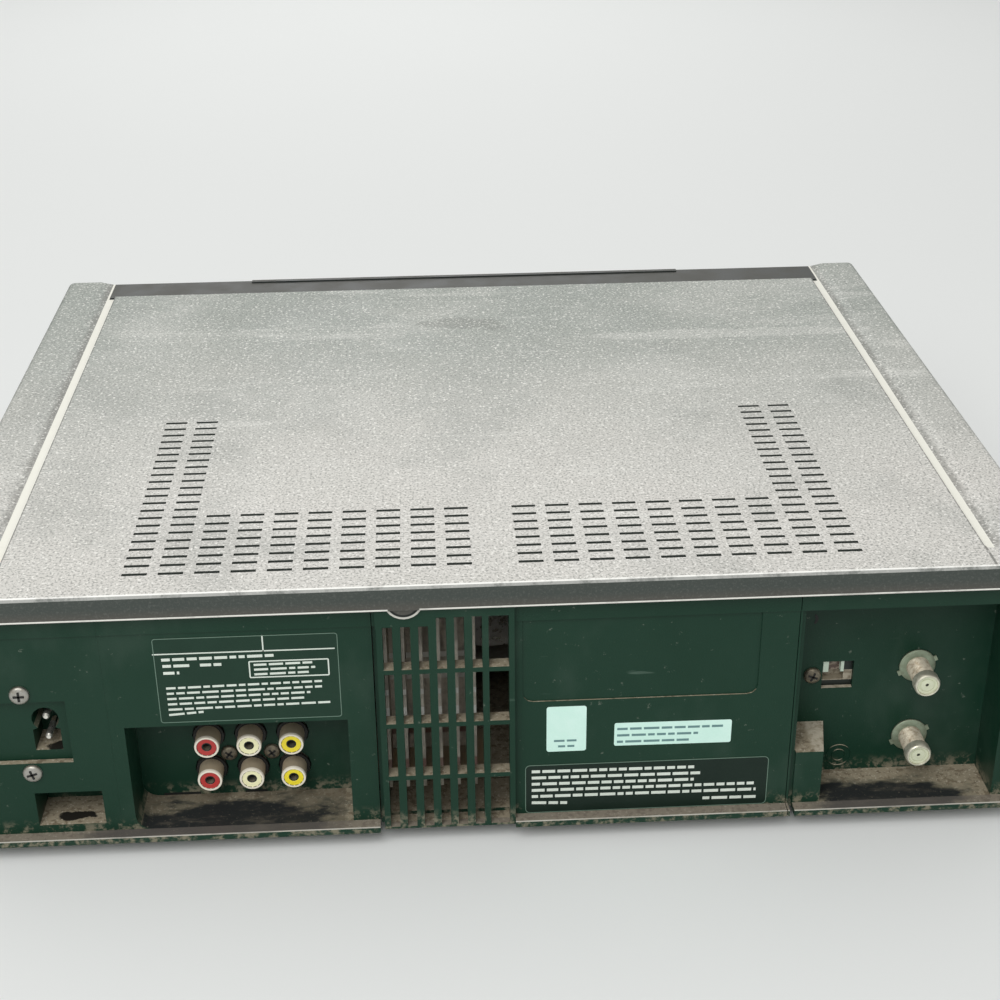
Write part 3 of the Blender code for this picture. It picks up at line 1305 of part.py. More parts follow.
def reels():
    for label, side in (("supply_reel", -1), ("takeup_reel", 1)):
        low = DECK_TOP_Z + REEL_LIFT
        bm = bmesh.new()
        profile = [
            (0, DECK_Z - RUNNING_GAP), (REEL_JOURNAL_RADIUS, DECK_Z - RUNNING_GAP),
            (REEL_JOURNAL_RADIUS, DECK_TOP_Z + RUNNING_GAP), (REEL_HUB_RADIUS, DECK_TOP_Z + RUNNING_GAP),
            (REEL_HUB_RADIUS, low), (REEL_RADIUS, low), (REEL_RADIUS, low + REEL_TABLE),
            (REEL_HUB_RADIUS, low + REEL_TABLE), (REEL_HUB_RADIUS, low + REEL_HUB_HEIGHT),
            (REEL_SPINDLE_RADIUS, low + REEL_HUB_HEIGHT),
            (REEL_SPINDLE_RADIUS, low + REEL_SPINDLE_HEIGHT - REEL_SPINDLE_RADIUS / 2),
            (REEL_SPINDLE_RADIUS / 2, low + REEL_SPINDLE_HEIGHT), (0, low + REEL_SPINDLE_HEIGHT),
        ]
        centre = (side * REEL_X, REEL_Y, 0)
        lathe(bm, profile, centre, steps=MEDIUM)
        reel = add_object(label, bm, black_plastic(), centre)
        vanes = bmesh.new()
        for k in range(REEL_VANES):
            made = block(
                vanes, REEL_SPINDLE_RADIUS / 2, REEL_SPINDLE_RADIUS + REEL_VANE_REACH, -REEL_VANE_WIDTH / 2,
                REEL_VANE_WIDTH / 2, low + REEL_HUB_HEIGHT / 2,
                low + REEL_SPINDLE_HEIGHT - REEL_SPINDLE_RADIUS,
            )
            turn = Matrix.Translation(centre) @ Matrix.Rotation(2 * math.pi * k / REEL_VANES, 4, "Z")
            bmesh.ops.transform(vanes, matrix=turn, verts=made)
        join(reel, "vanes", vanes)


def drum_matrix():
    """Leans the drum back about the middle of its foot."""
    pivot = Vector((0, DRUM_Y, DECK_TOP_Z + DRUM_FOOT_HEIGHT))
    return Matrix.Translation(pivot) @ Matrix.Rotation(-DRUM_TILT, 4, "X")


def drum():
    bm = bmesh.new()
    cylinder(bm, (0, DRUM_Y, 0), DRUM_FOOT_RADIUS, DECK_TOP_Z + FIT_GAP, DECK_TOP_Z + DRUM_FOOT_HEIGHT)
    base = add_object("drum_base", bm, polished_metal())
    lower = bmesh.new()
    sunk = math.sin(DRUM_TILT) * DRUM_FOOT_RADIUS
    top = DRUM_LOWER_HEIGHT
    profile = [
        (0, -sunk), (DRUM_FOOT_RADIUS - sunk, -sunk), (DRUM_RADIUS, 0), (DRUM_RADIUS, top),
        (DRUM_SHAFT_RADIUS, top), (DRUM_SHAFT_RADIUS, top + DRUM_SHAFT_HEIGHT),
        (0, top + DRUM_SHAFT_HEIGHT),
    ]
    lathe(lower, profile, steps=FINE)
    lower.transform(drum_matrix())
    join(base, "lower_drum", lower)

    rotor = bmesh.new()
    low = DRUM_LOWER_HEIGHT + RUNNING_GAP
    high = low + DRUM_UPPER_HEIGHT
    bore = DRUM_SHAFT_RADIUS + FIT_GAP
    profile = [
        (bore, low), (DRUM_RADIUS, low), (DRUM_RADIUS, high),
        (DRUM_RADIUS - DRUM_RELIEF, high + DRUM_RELIEF), (DRUM_FOOT_RADIUS, high + DRUM_RELIEF),
        (DRUM_FOOT_RADIUS - DRUM_RELIEF, high - DRUM_RELIEF), (bore, high - DRUM_RELIEF),
    ]
    lathe(rotor, profile, steps=FINE, closed=True)
    rotor.transform(drum_matrix())
    origin = drum_matrix() @ Vector((0, 0, low))
    spinner = add_object("drum_rotor", rotor, polished_metal(), origin)
    windows = bmesh.new()
    for side in (-1, 1):
        block(
            windows, side * DRUM_RADIUS - DRUM_HEAD_SLOT, side * DRUM_RADIUS + DRUM_HEAD_SLOT,
            -DRUM_HEAD_SLOT / 2, DRUM_HEAD_SLOT / 2, low - DRUM_RELIEF, low + DRUM_HEAD_SLOT,
        )
    windows.transform(drum_matrix())
    cut(spinner, "head_windows", windows)


def pulley_profile(radius, low):
    """A flanged belt pulley: (radius, height) from its underside to its top, without its shaft."""
    land = (PULLEY_THICKNESS - BELT_WIDTH - 2 * FIT_GAP) / 2
    rim = radius + PULLEY_FLANGE
    high = low + PULLEY_THICKNESS
    return [
        (rim, low), (rim, low + land), (radius, low + land), (radius, high - land), (rim, high - land),
        (rim, high),
    ]


def capstan():
    low = FLYWHEEL_Z
    pulley_z = low + FLYWHEEL_THICKNESS
    shaft = CAPSTAN_RADIUS
    profile = [(0, low), (FLYWHEEL_RADIUS, low), (FLYWHEEL_RADIUS, pulley_z)]
    profile += pulley_profile(PULLEY_RADIUS, pulley_z)
    profile += [(shaft, pulley_z + PULLEY_THICKNESS), (shaft, CAPSTAN_TOP_Z), (0, CAPSTAN_TOP_Z)]
    bm = bmesh.new()
    centre = (CAPSTAN_X, CAPSTAN_Y, 0)
    lathe(bm, profile, centre)
    add_object("capstan", bm, polished_metal(), centre)

    bearing = bmesh.new()
    flange = DECK_TOP_Z + FIT_GAP
    bore = CAPSTAN_RADIUS + FIT_GAP
    neck = BEARING_RADIUS * BEARING_NECK_SHARE
    profile = [
        (bore, DECK_Z - BEARING_DROP), (BEARING_RADIUS, DECK_Z - BEARING_DROP), (BEARING_RADIUS, flange),
        (BEARING_RADIUS + BEARING_FLANGE, flange), (BEARING_RADIUS + BEARING_FLANGE, flange + BEARING_FLANGE),
        (neck, flange + BEARING_FLANGE), (neck, flange + BEARING_HEIGHT),
        (bore, flange + BEARING_HEIGHT),
    ]
    lathe(bearing, profile, centre, closed=True)
    add_object("capstan_bearing", bearing, brass())


def clutch_and_belt():
    pulley_z = FLYWHEEL_Z + FLYWHEEL_THICKNESS
    top = DECK_TOP_Z + CLUTCH_SHAFT_RISE
    profile = [(0, pulley_z)] + pulley_profile(CLUTCH_RADIUS, pulley_z)
    profile += [(CLUTCH_SHAFT_RADIUS, pulley_z + PULLEY_THICKNESS), (CLUTCH_SHAFT_RADIUS, top), (0, top)]
    bm = bmesh.new()
    centre = (CLUTCH_X, CLUTCH_Y, 0)
    lathe(bm, profile, centre)
    add_object("clutch_pulley", bm, black_plastic(), centre)

    mid = pulley_z + PULLEY_THICKNESS / 2
    inner = belt_outline(FIT_GAP)
    outer = belt_outline(FIT_GAP + BELT_THICKNESS)
    belt = bmesh.new()
    rings = []
    for outline, z in (
        (inner, mid - BELT_WIDTH / 2), (outer, mid - BELT_WIDTH / 2), (outer, mid + BELT_WIDTH / 2),
        (inner, mid + BELT_WIDTH / 2),
    ):
        rings.append([belt.verts.new((x, y, z)) for x, y in outline])
    for ring, following in zip(rings, rings[1:] + rings[:1]):
        for k in range(len(ring)):
            n = (k + 1) % len(ring)
            belt.faces.new((ring[k], ring[n], following[n], following[k]))
    bmesh.ops.recalc_face_normals(belt, faces=belt.faces)
    add_object("drive_belt", belt, rubber())


def belt_outline(offset):
    """The loop of a belt round the capstan's pulley and the clutch, at an offset from both rims."""
    start = Vector((CAPSTAN_X, CAPSTAN_Y))
    end = Vector((CLUTCH_X, CLUTCH_Y))
    span = end - start
    heading = math.degrees(math.atan2(span.y, span.x))
    lean = math.degrees(math.acos((PULLEY_RADIUS - CLUTCH_RADIUS) / span.length))
    points = arc(start, PULLEY_RADIUS + offset, heading + lean, heading + 360 - lean, PLAIN)
    return points + arc(end, CLUTCH_RADIUS + offset, heading - lean, heading + lean, PLAIN)


def pinch_roller():
    pivot = Vector((PINCH_PIVOT_X, PINCH_PIVOT_Y))
    reach = CAPSTAN_RADIUS + PINCH_RADIUS + FIT_GAP
    toward = Vector((math.cos(PINCH_PRESS_HEADING), math.sin(PINCH_PRESS_HEADING)))
    pressed = Vector((CAPSTAN_X, CAPSTAN_Y)) + reach * toward
    centre = pivot + Matrix.Rotation(-PINCH_SWING, 2) @ (pressed - pivot)
    seat = DECK_TOP_Z + RUNNING_GAP
    arm_z = PINCH_BOTTOM_Z - ARM_THICKNESS - RUNNING_GAP
    bm = bmesh.new()
    prism(bm, stadium(centre, pivot, ARM_WIDTH), "Z", arm_z, arm_z + ARM_THICKNESS)
    arm = add_object("pinch_arm", bm, plated_steel(), (pivot.x, pivot.y, 0))
    sleeve = bmesh.new()
    sleeve_radius = ARM_WIDTH / 2 * ARM_SLEEVE_SHARE
    cylinder(sleeve, (pivot.x, pivot.y, 0), sleeve_radius, seat, arm_z + ARM_THICKNESS * 2, steps=COARSE)
    cylinder(
        sleeve, (centre.x, centre.y, 0), PINCH_PIN_RADIUS, arm_z + ARM_THICKNESS / 2,
        PINCH_TOP_Z + ARM_THICKNESS, steps=COARSE,
    )
    join(arm, "sleeve_and_pin", sleeve)
    shaft = bmesh.new()
    cylinder(
        shaft, (pivot.x, pivot.y, 0), PINCH_PIN_RADIUS, DECK_Z - RUNNING_GAP, seat + ARM_THICKNESS,
        steps=COARSE,
    )
    join(arm, "pivot", shaft)

    roller = bmesh.new()
    tube(
        roller, (centre.x, centre.y, 0), PINCH_RADIUS, PINCH_PIN_RADIUS + FIT_GAP, PINCH_BOTTOM_Z,
        PINCH_TOP_Z,
    )
    add_object("pinch_roller", roller, rubber(), (centre.x, centre.y, 0))


def guides():
    for label, side in (("supply_guide", -1), ("takeup_guide", 1)):
        x = side * GUIDE_X
        low = DECK_TOP_Z + RUNNING_GAP
        top = low + GUIDE_BASE_HEIGHT
        half = GUIDE_BASE_LENGTH / 2
        bm = bmesh.new()
        round_reach = half - GUIDE_BASE_WIDTH / 2
        foot = stadium((x, GUIDE_Y - round_reach), (x, GUIDE_Y + round_reach), GUIDE_BASE_WIDTH)
        prism(bm, foot, "Z", low, top)
        base = add_object(label, bm, brass(), (x, GUIDE_Y, 0))
        key = bmesh.new()
        reach = (GUIDE_KEY_LENGTH - GUIDE_KEY_WIDTH) / 2
        outline = stadium((x, GUIDE_Y - reach), (x, GUIDE_Y + reach), GUIDE_KEY_WIDTH)
        prism(key, outline, "Z", DECK_Z - RUNNING_GAP, low + GUIDE_BASE_HEIGHT / 2)
        join(base, "key", key)
        post = bmesh.new()
        flange = GUIDE_FLANGE_RADIUS - GUIDE_ROLLER_RADIUS
        y = GUIDE_Y + half - GUIDE_BASE_WIDTH / 2
        roller_z = top + GUIDE_BASE_HEIGHT
        profile = [
            (0, top - GUIDE_BASE_HEIGHT / 2), (GUIDE_ROLLER_RADIUS / 2, top - GUIDE_BASE_HEIGHT / 2),
            (GUIDE_ROLLER_RADIUS / 2, roller_z), (GUIDE_FLANGE_RADIUS, roller_z),
            (GUIDE_FLANGE_RADIUS, roller_z + flange), (GUIDE_ROLLER_RADIUS, roller_z + flange),
            (GUIDE_ROLLER_RADIUS, GUIDE_TOP_Z - flange), (GUIDE_FLANGE_RADIUS, GUIDE_TOP_Z - flange),
            (GUIDE_FLANGE_RADIUS, GUIDE_TOP_Z), (0, GUIDE_TOP_Z),
        ]
        lathe(post, profile, (x, y, 0), steps=COARSE)
        join(base, "roller_post", post)


def fixed_heads():
    """The erase head and the audio and control head, each on its own post."""
    half = HEAD_WIDTH / 2
    for label, x, y in (("erase_head", ERASE_X, ERASE_Y), ("control_head", CONTROL_X, CONTROL_Y)):
        bm = bmesh.new()
        middle = (x, y + HEAD_DEPTH / 4, 0)
        seat = DECK_TOP_Z + FIT_GAP
        cylinder(bm, middle, HEAD_POST_RADIUS, seat, HEAD_BOTTOM_Z + OVERRUN, steps=COARSE)
        head = add_object(label, bm, polished_metal())
        nose = bmesh.new()
        outline = [(x - half, y + HEAD_DEPTH / 2), (x - half, y)]
        outline += arc((x, y), half * HEAD_NOSE_SHARE, 180, 360, HALF_TURN_STEPS)
        outline += [(x + half, y), (x + half, y + HEAD_DEPTH / 2)]
        prism(nose, outline, "Z", HEAD_BOTTOM_Z, HEAD_TOP_Z)
        join(head, "nose", nose)


def loading_motor():
    axis_z = DECK_TOP_Z + MOTOR_LIFT + MOTOR_RADIUS
    rear = MOTOR_Y + MOTOR_LENGTH / 2
    front = MOTOR_Y - MOTOR_LENGTH / 2
    bm = bmesh.new()
    cylinder(bm, (MOTOR_X, 0, axis_z), MOTOR_RADIUS, front, rear, "Y")
    motor = add_object("loading_motor", bm, plated_steel())
    saddle = bmesh.new()
    half = MOTOR_RADIUS * MOTOR_SADDLE_SHARE
    block(
        saddle, MOTOR_X - half, MOTOR_X + half, front + MOTOR_LIFT, rear - MOTOR_LIFT, DECK_TOP_Z + FIT_GAP,
        axis_z - MOTOR_RADIUS / 2,
    )
    join(motor, "saddle", saddle)

    pitch = WORM_LENGTH / (2 * WORM_THREADS)
    start = front - FIT_GAP - WORM_LENGTH
    root = WORM_RADIUS * WORM_ROOT_SHARE
    profile = [(0, start)]
    for k in range(WORM_THREADS):
        y = start + 2 * k * pitch
        profile += [
            (root, y), (WORM_RADIUS, y + pitch / 2), (WORM_RADIUS, y + pitch), (root, y + 3 * pitch / 2),
        ]
    profile += [(root, start + WORM_LENGTH), (0, start + WORM_LENGTH)]
    worm = bmesh.new()
    lathe(worm, profile, (MOTOR_X, 0, axis_z), "Y", COARSE)
    add_object("worm", worm, brass(), (MOTOR_X, front, axis_z))


# Cassette carriage


def carriage_pins():
    return ((PIN_FRONT_Y, PIN_FRONT_Z), (PIN_REAR_Y, PIN_REAR_Z))


def cassette_holder():
    rear = HOLDER_FRONT_Y + HOLDER_LENGTH
    floor = CASSETTE_FLOOR_Z - DECK_SHEET
    roof = HOLDER_ROOF_Z + DECK_SHEET
    rail = HOLDER_INNER_X - HOLDER_RAIL
    bm = bmesh.new()
    outline = [
        (-HOLDER_OUTER_X, floor), (-rail, floor), (-rail, CASSETTE_FLOOR_Z),
        (-HOLDER_INNER_X, CASSETTE_FLOOR_Z), (-HOLDER_INNER_X, HOLDER_ROOF_Z),
        (HOLDER_INNER_X, HOLDER_ROOF_Z), (HOLDER_INNER_X, CASSETTE_FLOOR_Z), (rail, CASSETTE_FLOOR_Z),
        (rail, floor), (HOLDER_OUTER_X, floor), (HOLDER_OUTER_X, roof), (-HOLDER_OUTER_X, roof),
    ]
    prism(bm, outline, "Y", HOLDER_FRONT_Y, rear)
    holder = add_object("cassette_holder", bm, plated_steel())
    pins = bmesh.new()
    reach = SLIDER_X + SLIDER_SHEET + PIN_TAIL
    for side in (-1, 1):
        for y, z in carriage_pins():
            low, high = sorted((side * (HOLDER_INNER_X + DECK_SHEET / 2), side * reach))
            cylinder(pins, (0, y, z), PIN_RADIUS, low, high, "X", COARSE)
    join(holder, "pins", pins)
    window = bmesh.new()
    inset = HOLDER_ROOF_INSET
    outline = rounded_rectangle(-rail + inset, rail - inset, HOLDER_FRONT_Y + inset, rear - inset, inset / 2)
    prism(window, outline, "Z", HOLDER_ROOF_Z - OVERRUN, roof + OVERRUN)
    cut(holder, "roof_window", window)


def brackets():
    """Fixed plates whose bent slots lead the holder's pins in and then down."""
    low = DECK_TOP_Z + FIT_GAP
    step_z = PIN_FRONT_Z - LOWER_TRAVEL / 2
    for label, side in (("left_bracket", -1), ("right_bracket", 1)):
        x0, x1 = sorted((side * BRACKET_X, side * (BRACKET_X + BRACKET_SHEET)))
        foot_y = DECK_FRONT_Y + BRACKET_FLANGE
        outline = [
            (foot_y, low), (BRACKET_REAR_Y, low), (BRACKET_REAR_Y, BRACKET_TOP_Z),
            (BRACKET_FRONT_Y, BRACKET_TOP_Z), (BRACKET_FRONT_Y, step_z), (foot_y, low + BRACKET_FLANGE),
        ]
        bm = bmesh.new()
        prism(bm, outline, "X", x0, x1)
        plate = add_object(label, bm, plated_steel())
        flange = bmesh.new()
        x2, x3 = sorted((side * (BRACKET_X + BRACKET_SHEET / 2), side * (BRACKET_X + BRACKET_FLANGE)))
        block(flange, x2, x3, foot_y, BRACKET_REAR_Y, low, low + BRACKET_SHEET)
        join(plate, "flange", flange)
        slots = bmesh.new()
        for y, z in carriage_pins():
            prism(slots, bent_slot(y, z), "X", x0 - OVERRUN, x1 + OVERRUN)
        cut(plate, "slots", slots)


def bent_slot(y, z):
    """The outline of an L-shaped slot: level from the front to (y, z), then down."""
    half = PIN_SLOT_WIDTH / 2
    points = arc((y - CARRIAGE_TRAVEL, z), half, 90, 270, HALF_TURN_STEPS)
    points += [(y - half, z - half)]
    points += arc((y, z - LOWER_TRAVEL), half, 180, 360, HALF_TURN_STEPS)
    return points + arc((y, z), half, 0, 90, QUARTER_TURN_STEPS)


def carriage_frame():
    """Plates outside the brackets, tied by a bar, that carry the holder and let it drop."""
    bar = bmesh.new()
    half = SLIDER_X + SLIDER_SHEET + PIN_TAIL
    cylinder(bar, (0, SYNC_Y, SYNC_Z), SYNC_RADIUS, -half, half, "X", COARSE)
    frame = add_object("carriage_frame", bar, polished_metal())
    low = PIN_FRONT_Z - LOWER_TRAVEL - SLIDER_MARGIN_Z
    outline = rectangle(PIN_FRONT_Y - SLIDER_MARGIN_Y, PIN_REAR_Y + SLIDER_MARGIN_Y, low, SLIDER_TOP_Z)
    plates = bmesh.new()
    slots = bmesh.new()
    for side in (-1, 1):
        x0, x1 = sorted((side * SLIDER_X, side * (SLIDER_X + SLIDER_SHEET)))
        prism(plates, outline, "X", x0, x1)
        for y, z in carriage_pins():
            slot = stadium((y, z), (y, z - LOWER_TRAVEL), PIN_SLOT_WIDTH)
            prism(slots, slot, "X", x0 - OVERRUN, x1 + OVERRUN)
    join(frame, "plates", plates)
    cut(frame, "slots", slots)


# Fascia and its controls


def buttons():
    """Each push button: name, x and z of its middle."""
    yield "power_button", POWER_X, BUTTON_UPPER_Z
    yield "eject_button", EJECT_X, BUTTON_UPPER_Z
    names = ("rewind_button", "play_button", "forward_button", "record_button", "stop_button", "pause_button")
    for k, name in enumerate(names):
        column = k % 3 - 1
        yield name, TRANSPORT_X + column * BUTTON_PITCH, BUTTON_LOWER_Z if k > 2 else BUTTON_UPPER_Z


def fascia():
    low = BASE_Z
    high = FASCIA_TOP_Z
    outline = [(FASCIA_REAR_Y, low), (FASCIA_REAR_Y, high)]
    outline += arc(
        (FASCIA_FACE_Y + FASCIA_ROUND, high - FASCIA_ROUND), FASCIA_ROUND, 90, 180, QUARTER_TURN_STEPS,
    )
    outline += arc(
        (FASCIA_FACE_Y + FASCIA_ROUND, low + FASCIA_ROUND), FASCIA_ROUND, 180, 270, QUARTER_TURN_STEPS,
    )
    bm = bmesh.new()
    prism(bm, outline, "X", -INNER_HALF_WIDTH, INNER_HALF_WIDTH)
    panel = add_object("front_panel", bm, fascia_plastic())

    ends = bmesh.new()
    step_x = WING_X - FIT_GAP
    step_z = TOP_Z - GROOVE_DEPTH - SHEET - FIT_GAP
    for side in (-1, 1):
        x0, x1 = sorted((side * step_x, side * HALF_WIDTH))
        block(ends, x0, x1, FRONT_Y - OVERRUN, FASCIA_REAR_Y + OVERRUN, step_z, TOP_Z + OVERRUN)
    cut(panel, "steps", ends)
    hollow = bmesh.new()
    wall = FASCIA_WALL
    inner = INNER_HALF_WIDTH - wall
    outline = [
        (-inner, low + wall), (inner, low + wall), (inner, step_z - wall), (step_x - wall, step_z - wall),
        (step_x - wall, high - wall), (-step_x + wall, high - wall), (-step_x + wall, step_z - wall),
        (-inner, step_z - wall),
    ]
    prism(hollow, outline, "Y", FASCIA_INNER_Y, FASCIA_REAR_Y + OVERRUN)
    cut(panel, "hollow", hollow)

    added = bmesh.new()
    block(
        added, -CREST_HALF_WIDTH, CREST_HALF_WIDTH, FASCIA_FACE_Y + FASCIA_ROUND,
        FASCIA_FACE_Y + FASCIA_ROUND + CREST_DEPTH, high - wall / 2, high + CREST_HEIGHT,
    )
    for x, z in board_bosses():
        cylinder(
            added, (x, 0, z), BOARD_POST_RADIUS, FASCIA_INNER_Y - wall / 2, DISPLAY_BOARD_Y - FIT_GAP, "Y",
            COARSE,
        )
    join(panel, "crest_and_bosses", added)
    well = bmesh.new()
    back = FASCIA_INNER_Y + FLAP_WELL_DEPTH
    block(
        well, FLAP_LEFT_X - wall, FLAP_RIGHT_X + wall, FASCIA_FACE_Y + wall / 2, back + wall,
        FLAP_BOTTOM_Z - wall, FLAP_TOP_Z + wall,
    )
    join(panel, "well", well)
    for side in (-1, 1):
        ears = bmesh.new()
        edge = DOOR_HALF_WIDTH + FIT_GAP
        x0, x1 = sorted((side * edge, side * (edge + DOOR_BOSS)))
        block(
            ears, x0, x1, FASCIA_INNER_Y - wall / 2, DOOR_AXIS_Y + DOOR_BOSS, DOOR_AXIS_Z - DOOR_BOSS,
            DOOR_AXIS_Z + DOOR_BOSS,
        )
        join(panel, "ear_right" if side > 0 else "ear_left", ears)
    for side in (-1, 1):
        ears = bmesh.new()
        edge = BUTTON_HEIGHT / 2 + ROCKER_CLEARANCE
        z0, z1 = sorted((side * edge, side * (edge + DOOR_BOSS)))
        block(
            ears, ROCKER_X - DOOR_BOSS, ROCKER_X + DOOR_BOSS, FASCIA_INNER_Y - wall / 2,
            ROCKER_Y + DOOR_BOSS, ROCKER_Z + z0, ROCKER_Z + z1,
        )
        join(panel, "rocker_ear_upper" if side > 0 else "rocker_ear_lower", ears)

    cut(panel, "recesses", fascia_recesses())
    cut(panel, "holes", fascia_holes())
    cut(panel, "pivots", fascia_pivots())


def board_bosses():
    for side in (-1, 1):
        for z in (DISPLAY_BOARD_BOTTOM_Z + BOARD_POST_INSET, DISPLAY_BOARD_TOP_Z - BOARD_POST_INSET):
            yield side * (INNER_HALF_WIDTH - FASCIA_WALL - BOARD_POST_INSET), z


def fascia_recesses():
    """The door's opening and the shallow seats of the window and the flap."""
    bm = bmesh.new()
    gap = FIT_GAP
    before = FRONT_Y - OVERRUN
    edge = DOOR_HALF_WIDTH + gap
    block(bm, -edge, edge, before, FASCIA_INNER_Y + OVERRUN, DOOR_BOTTOM_Z - gap, DOOR_TOP_Z + gap)
    edge = WINDOW_HALF_WIDTH + gap
    seat = FASCIA_FACE_Y + WINDOW_THICKNESS + gap
    block(bm, -edge, edge, before, seat, WINDOW_BOTTOM_Z - gap, WINDOW_TOP_Z + gap)
    seat = FASCIA_FACE_Y + FLAP_THICKNESS + gap
    block(bm, FLAP_LEFT_X - gap, FLAP_RIGHT_X + gap, before, seat, FLAP_BOTTOM_Z - gap, FLAP_TOP_Z + gap)
    return bm


def fascia_holes():
    """Openings through the wall for the window, the buttons and the rocker, and the flap's well."""
    bm = bmesh.new()
    before = FRONT_Y - OVERRUN
    behind = FASCIA_INNER_Y + OVERRUN
    edge = WINDOW_HALF_WIDTH - WINDOW_LIP
    block(bm, -edge, edge, before, behind, WINDOW_BOTTOM_Z + WINDOW_LIP, WINDOW_TOP_Z - WINDOW_LIP)
    for _, x, z in buttons():
        prism(bm, button_outline(x, z, FIT_GAP), "Y", before, behind)
    half_width = ROCKER_WIDTH / 2 + ROCKER_CLEARANCE
    half_height = BUTTON_HEIGHT / 2 + ROCKER_CLEARANCE
    block(
        bm, ROCKER_X - half_width, ROCKER_X + half_width, before, behind,
        ROCKER_Z - half_height, ROCKER_Z + half_height,
    )
    rim = FLAP_RIM
    back = FASCIA_INNER_Y + FLAP_WELL_DEPTH
    block(bm, FLAP_LEFT_X + rim, FLAP_RIGHT_X - rim, before, back, FLAP_BOTTOM_Z + 2 * rim, FLAP_TOP_Z - rim)
    return bm


def fascia_pivots():
    """Bearings for the pins of the door, the flap and the rocker, and the front jacks' holes."""
    bm = bmesh.new()
    radius = HINGE_PIN_RADIUS + FIT_GAP
    length = HINGE_PIN_LENGTH + FIT_GAP
    hinges = [
        (-DOOR_HALF_WIDTH, -1, DOOR_AXIS_Y, DOOR_AXIS_Z), (DOOR_HALF_WIDTH, 1, DOOR_AXIS_Y, DOOR_AXIS_Z),
        (FLAP_LEFT_X, -1, FLAP_AXIS_Y, FLAP_AXIS_Z), (FLAP_RIGHT_X, 1, FLAP_AXIS_Y, FLAP_AXIS_Z),
    ]
    for x, side, y, z in hinges:
        low, high = sorted((x, x + side * length))
        cylinder(bm, (0, y, z), radius, low, high, "X", COARSE)
    inner = BUTTON_HEIGHT / 2
    outer = inner + ROCKER_PIN_LENGTH + FIT_GAP
    for low, high in ((inner, outer), (-outer, -inner)):
        cylinder(bm, (ROCKER_X, ROCKER_Y, ROCKER_Z), ROCKER_PIN_RADIUS + FIT_GAP, low, high, steps=COARSE)
    back = FASCIA_INNER_Y + FLAP_WELL_DEPTH
    for x, z in front_jack_places():
        cylinder(bm, (x, back, z), FRONT_JACK_RADIUS + FIT_GAP, -OVERRUN, FASCIA_WALL + OVERRUN, "Y")
    return bm


def cassette_door():
    bm = bmesh.new()
    y0 = FASCIA_FACE_Y
    y1 = FASCIA_FACE_Y + DOOR_THICKNESS
    outline = [(y1, DOOR_BOTTOM_Z)]
    outline += arc((DOOR_AXIS_Y, DOOR_AXIS_Z), DOOR_THICKNESS / 2, 0, 180, HALF_TURN_STEPS)
    outline += [(y0, DOOR_BOTTOM_Z + DOOR_GRIP_HEIGHT), (y0 + DOOR_THICKNESS / 2, DOOR_BOTTOM_Z)]
    prism(bm, outline, "X", -DOOR_HALF_WIDTH, DOOR_HALF_WIDTH)
    door = add_object("cassette_door", bm, fascia_plastic(), (0, DOOR_AXIS_Y, DOOR_AXIS_Z))
    pins = bmesh.new()
    for side in (-1, 1):
        low, high = sorted((side * (DOOR_HALF_WIDTH - OVERRUN), side * (DOOR_HALF_WIDTH + HINGE_PIN_LENGTH)))
        cylinder(pins, (0, DOOR_AXIS_Y, DOOR_AXIS_Z), HINGE_PIN_RADIUS, low, high, "X", COARSE)
    join(door, "pins", pins)


def display():
    bm = bmesh.new()
    outline = rectangle(-WINDOW_HALF_WIDTH, WINDOW_HALF_WIDTH, WINDOW_BOTTOM_Z, WINDOW_TOP_Z)
    prism(bm, outline, "Y", FASCIA_FACE_Y, FASCIA_FACE_Y + WINDOW_THICKNESS)
    add_object("display_window", bm, smoked_window())

    tube_bm = bmesh.new()
    middle = (WINDOW_BOTTOM_Z + WINDOW_TOP_Z) / 2
    rear = DISPLAY_BOARD_Y - FIT_GAP
    block(
        tube_bm, -TUBE_HALF_WIDTH, TUBE_HALF_WIDTH, rear - TUBE_DEPTH, rear, middle - TUBE_HALF_HEIGHT,
        middle + TUBE_HALF_HEIGHT,
    )
    add_object("display_tube", tube_bm, smoked_window())

    edge = INNER_HALF_WIDTH - FASCIA_WALL - FIT_GAP
    outline = [
        (-edge, DISPLAY_BOARD_BOTTOM_Z), (edge, DISPLAY_BOARD_BOTTOM_Z), (edge, DISPLAY_BOARD_TOP_Z),
        (DISPLAY_BOARD_NOTCH_X, DISPLAY_BOARD_TOP_Z), (DISPLAY_BOARD_NOTCH_X, DISPLAY_BOARD_MIDDLE_Z),
        (-DISPLAY_BOARD_NOTCH_X, DISPLAY_BOARD_MIDDLE_Z), (-DISPLAY_BOARD_NOTCH_X, DISPLAY_BOARD_TOP_Z),
        (-edge, DISPLAY_BOARD_TOP_Z),
    ]
    panel = bmesh.new()
    prism(panel, outline, "Y", DISPLAY_BOARD_Y, DISPLAY_BOARD_Y + BOARD_THICKNESS)
    add_object("display_board", panel, circuit_board())


def button_outline(x, z, grow):
    half_width = BUTTON_WIDTH / 2 + grow
    half_height = BUTTON_HEIGHT / 2 + grow
    return rounded_rectangle(
        x - half_width, x + half_width, z - half_height, z + half_height, BUTTON_CORNER, 1,
    )


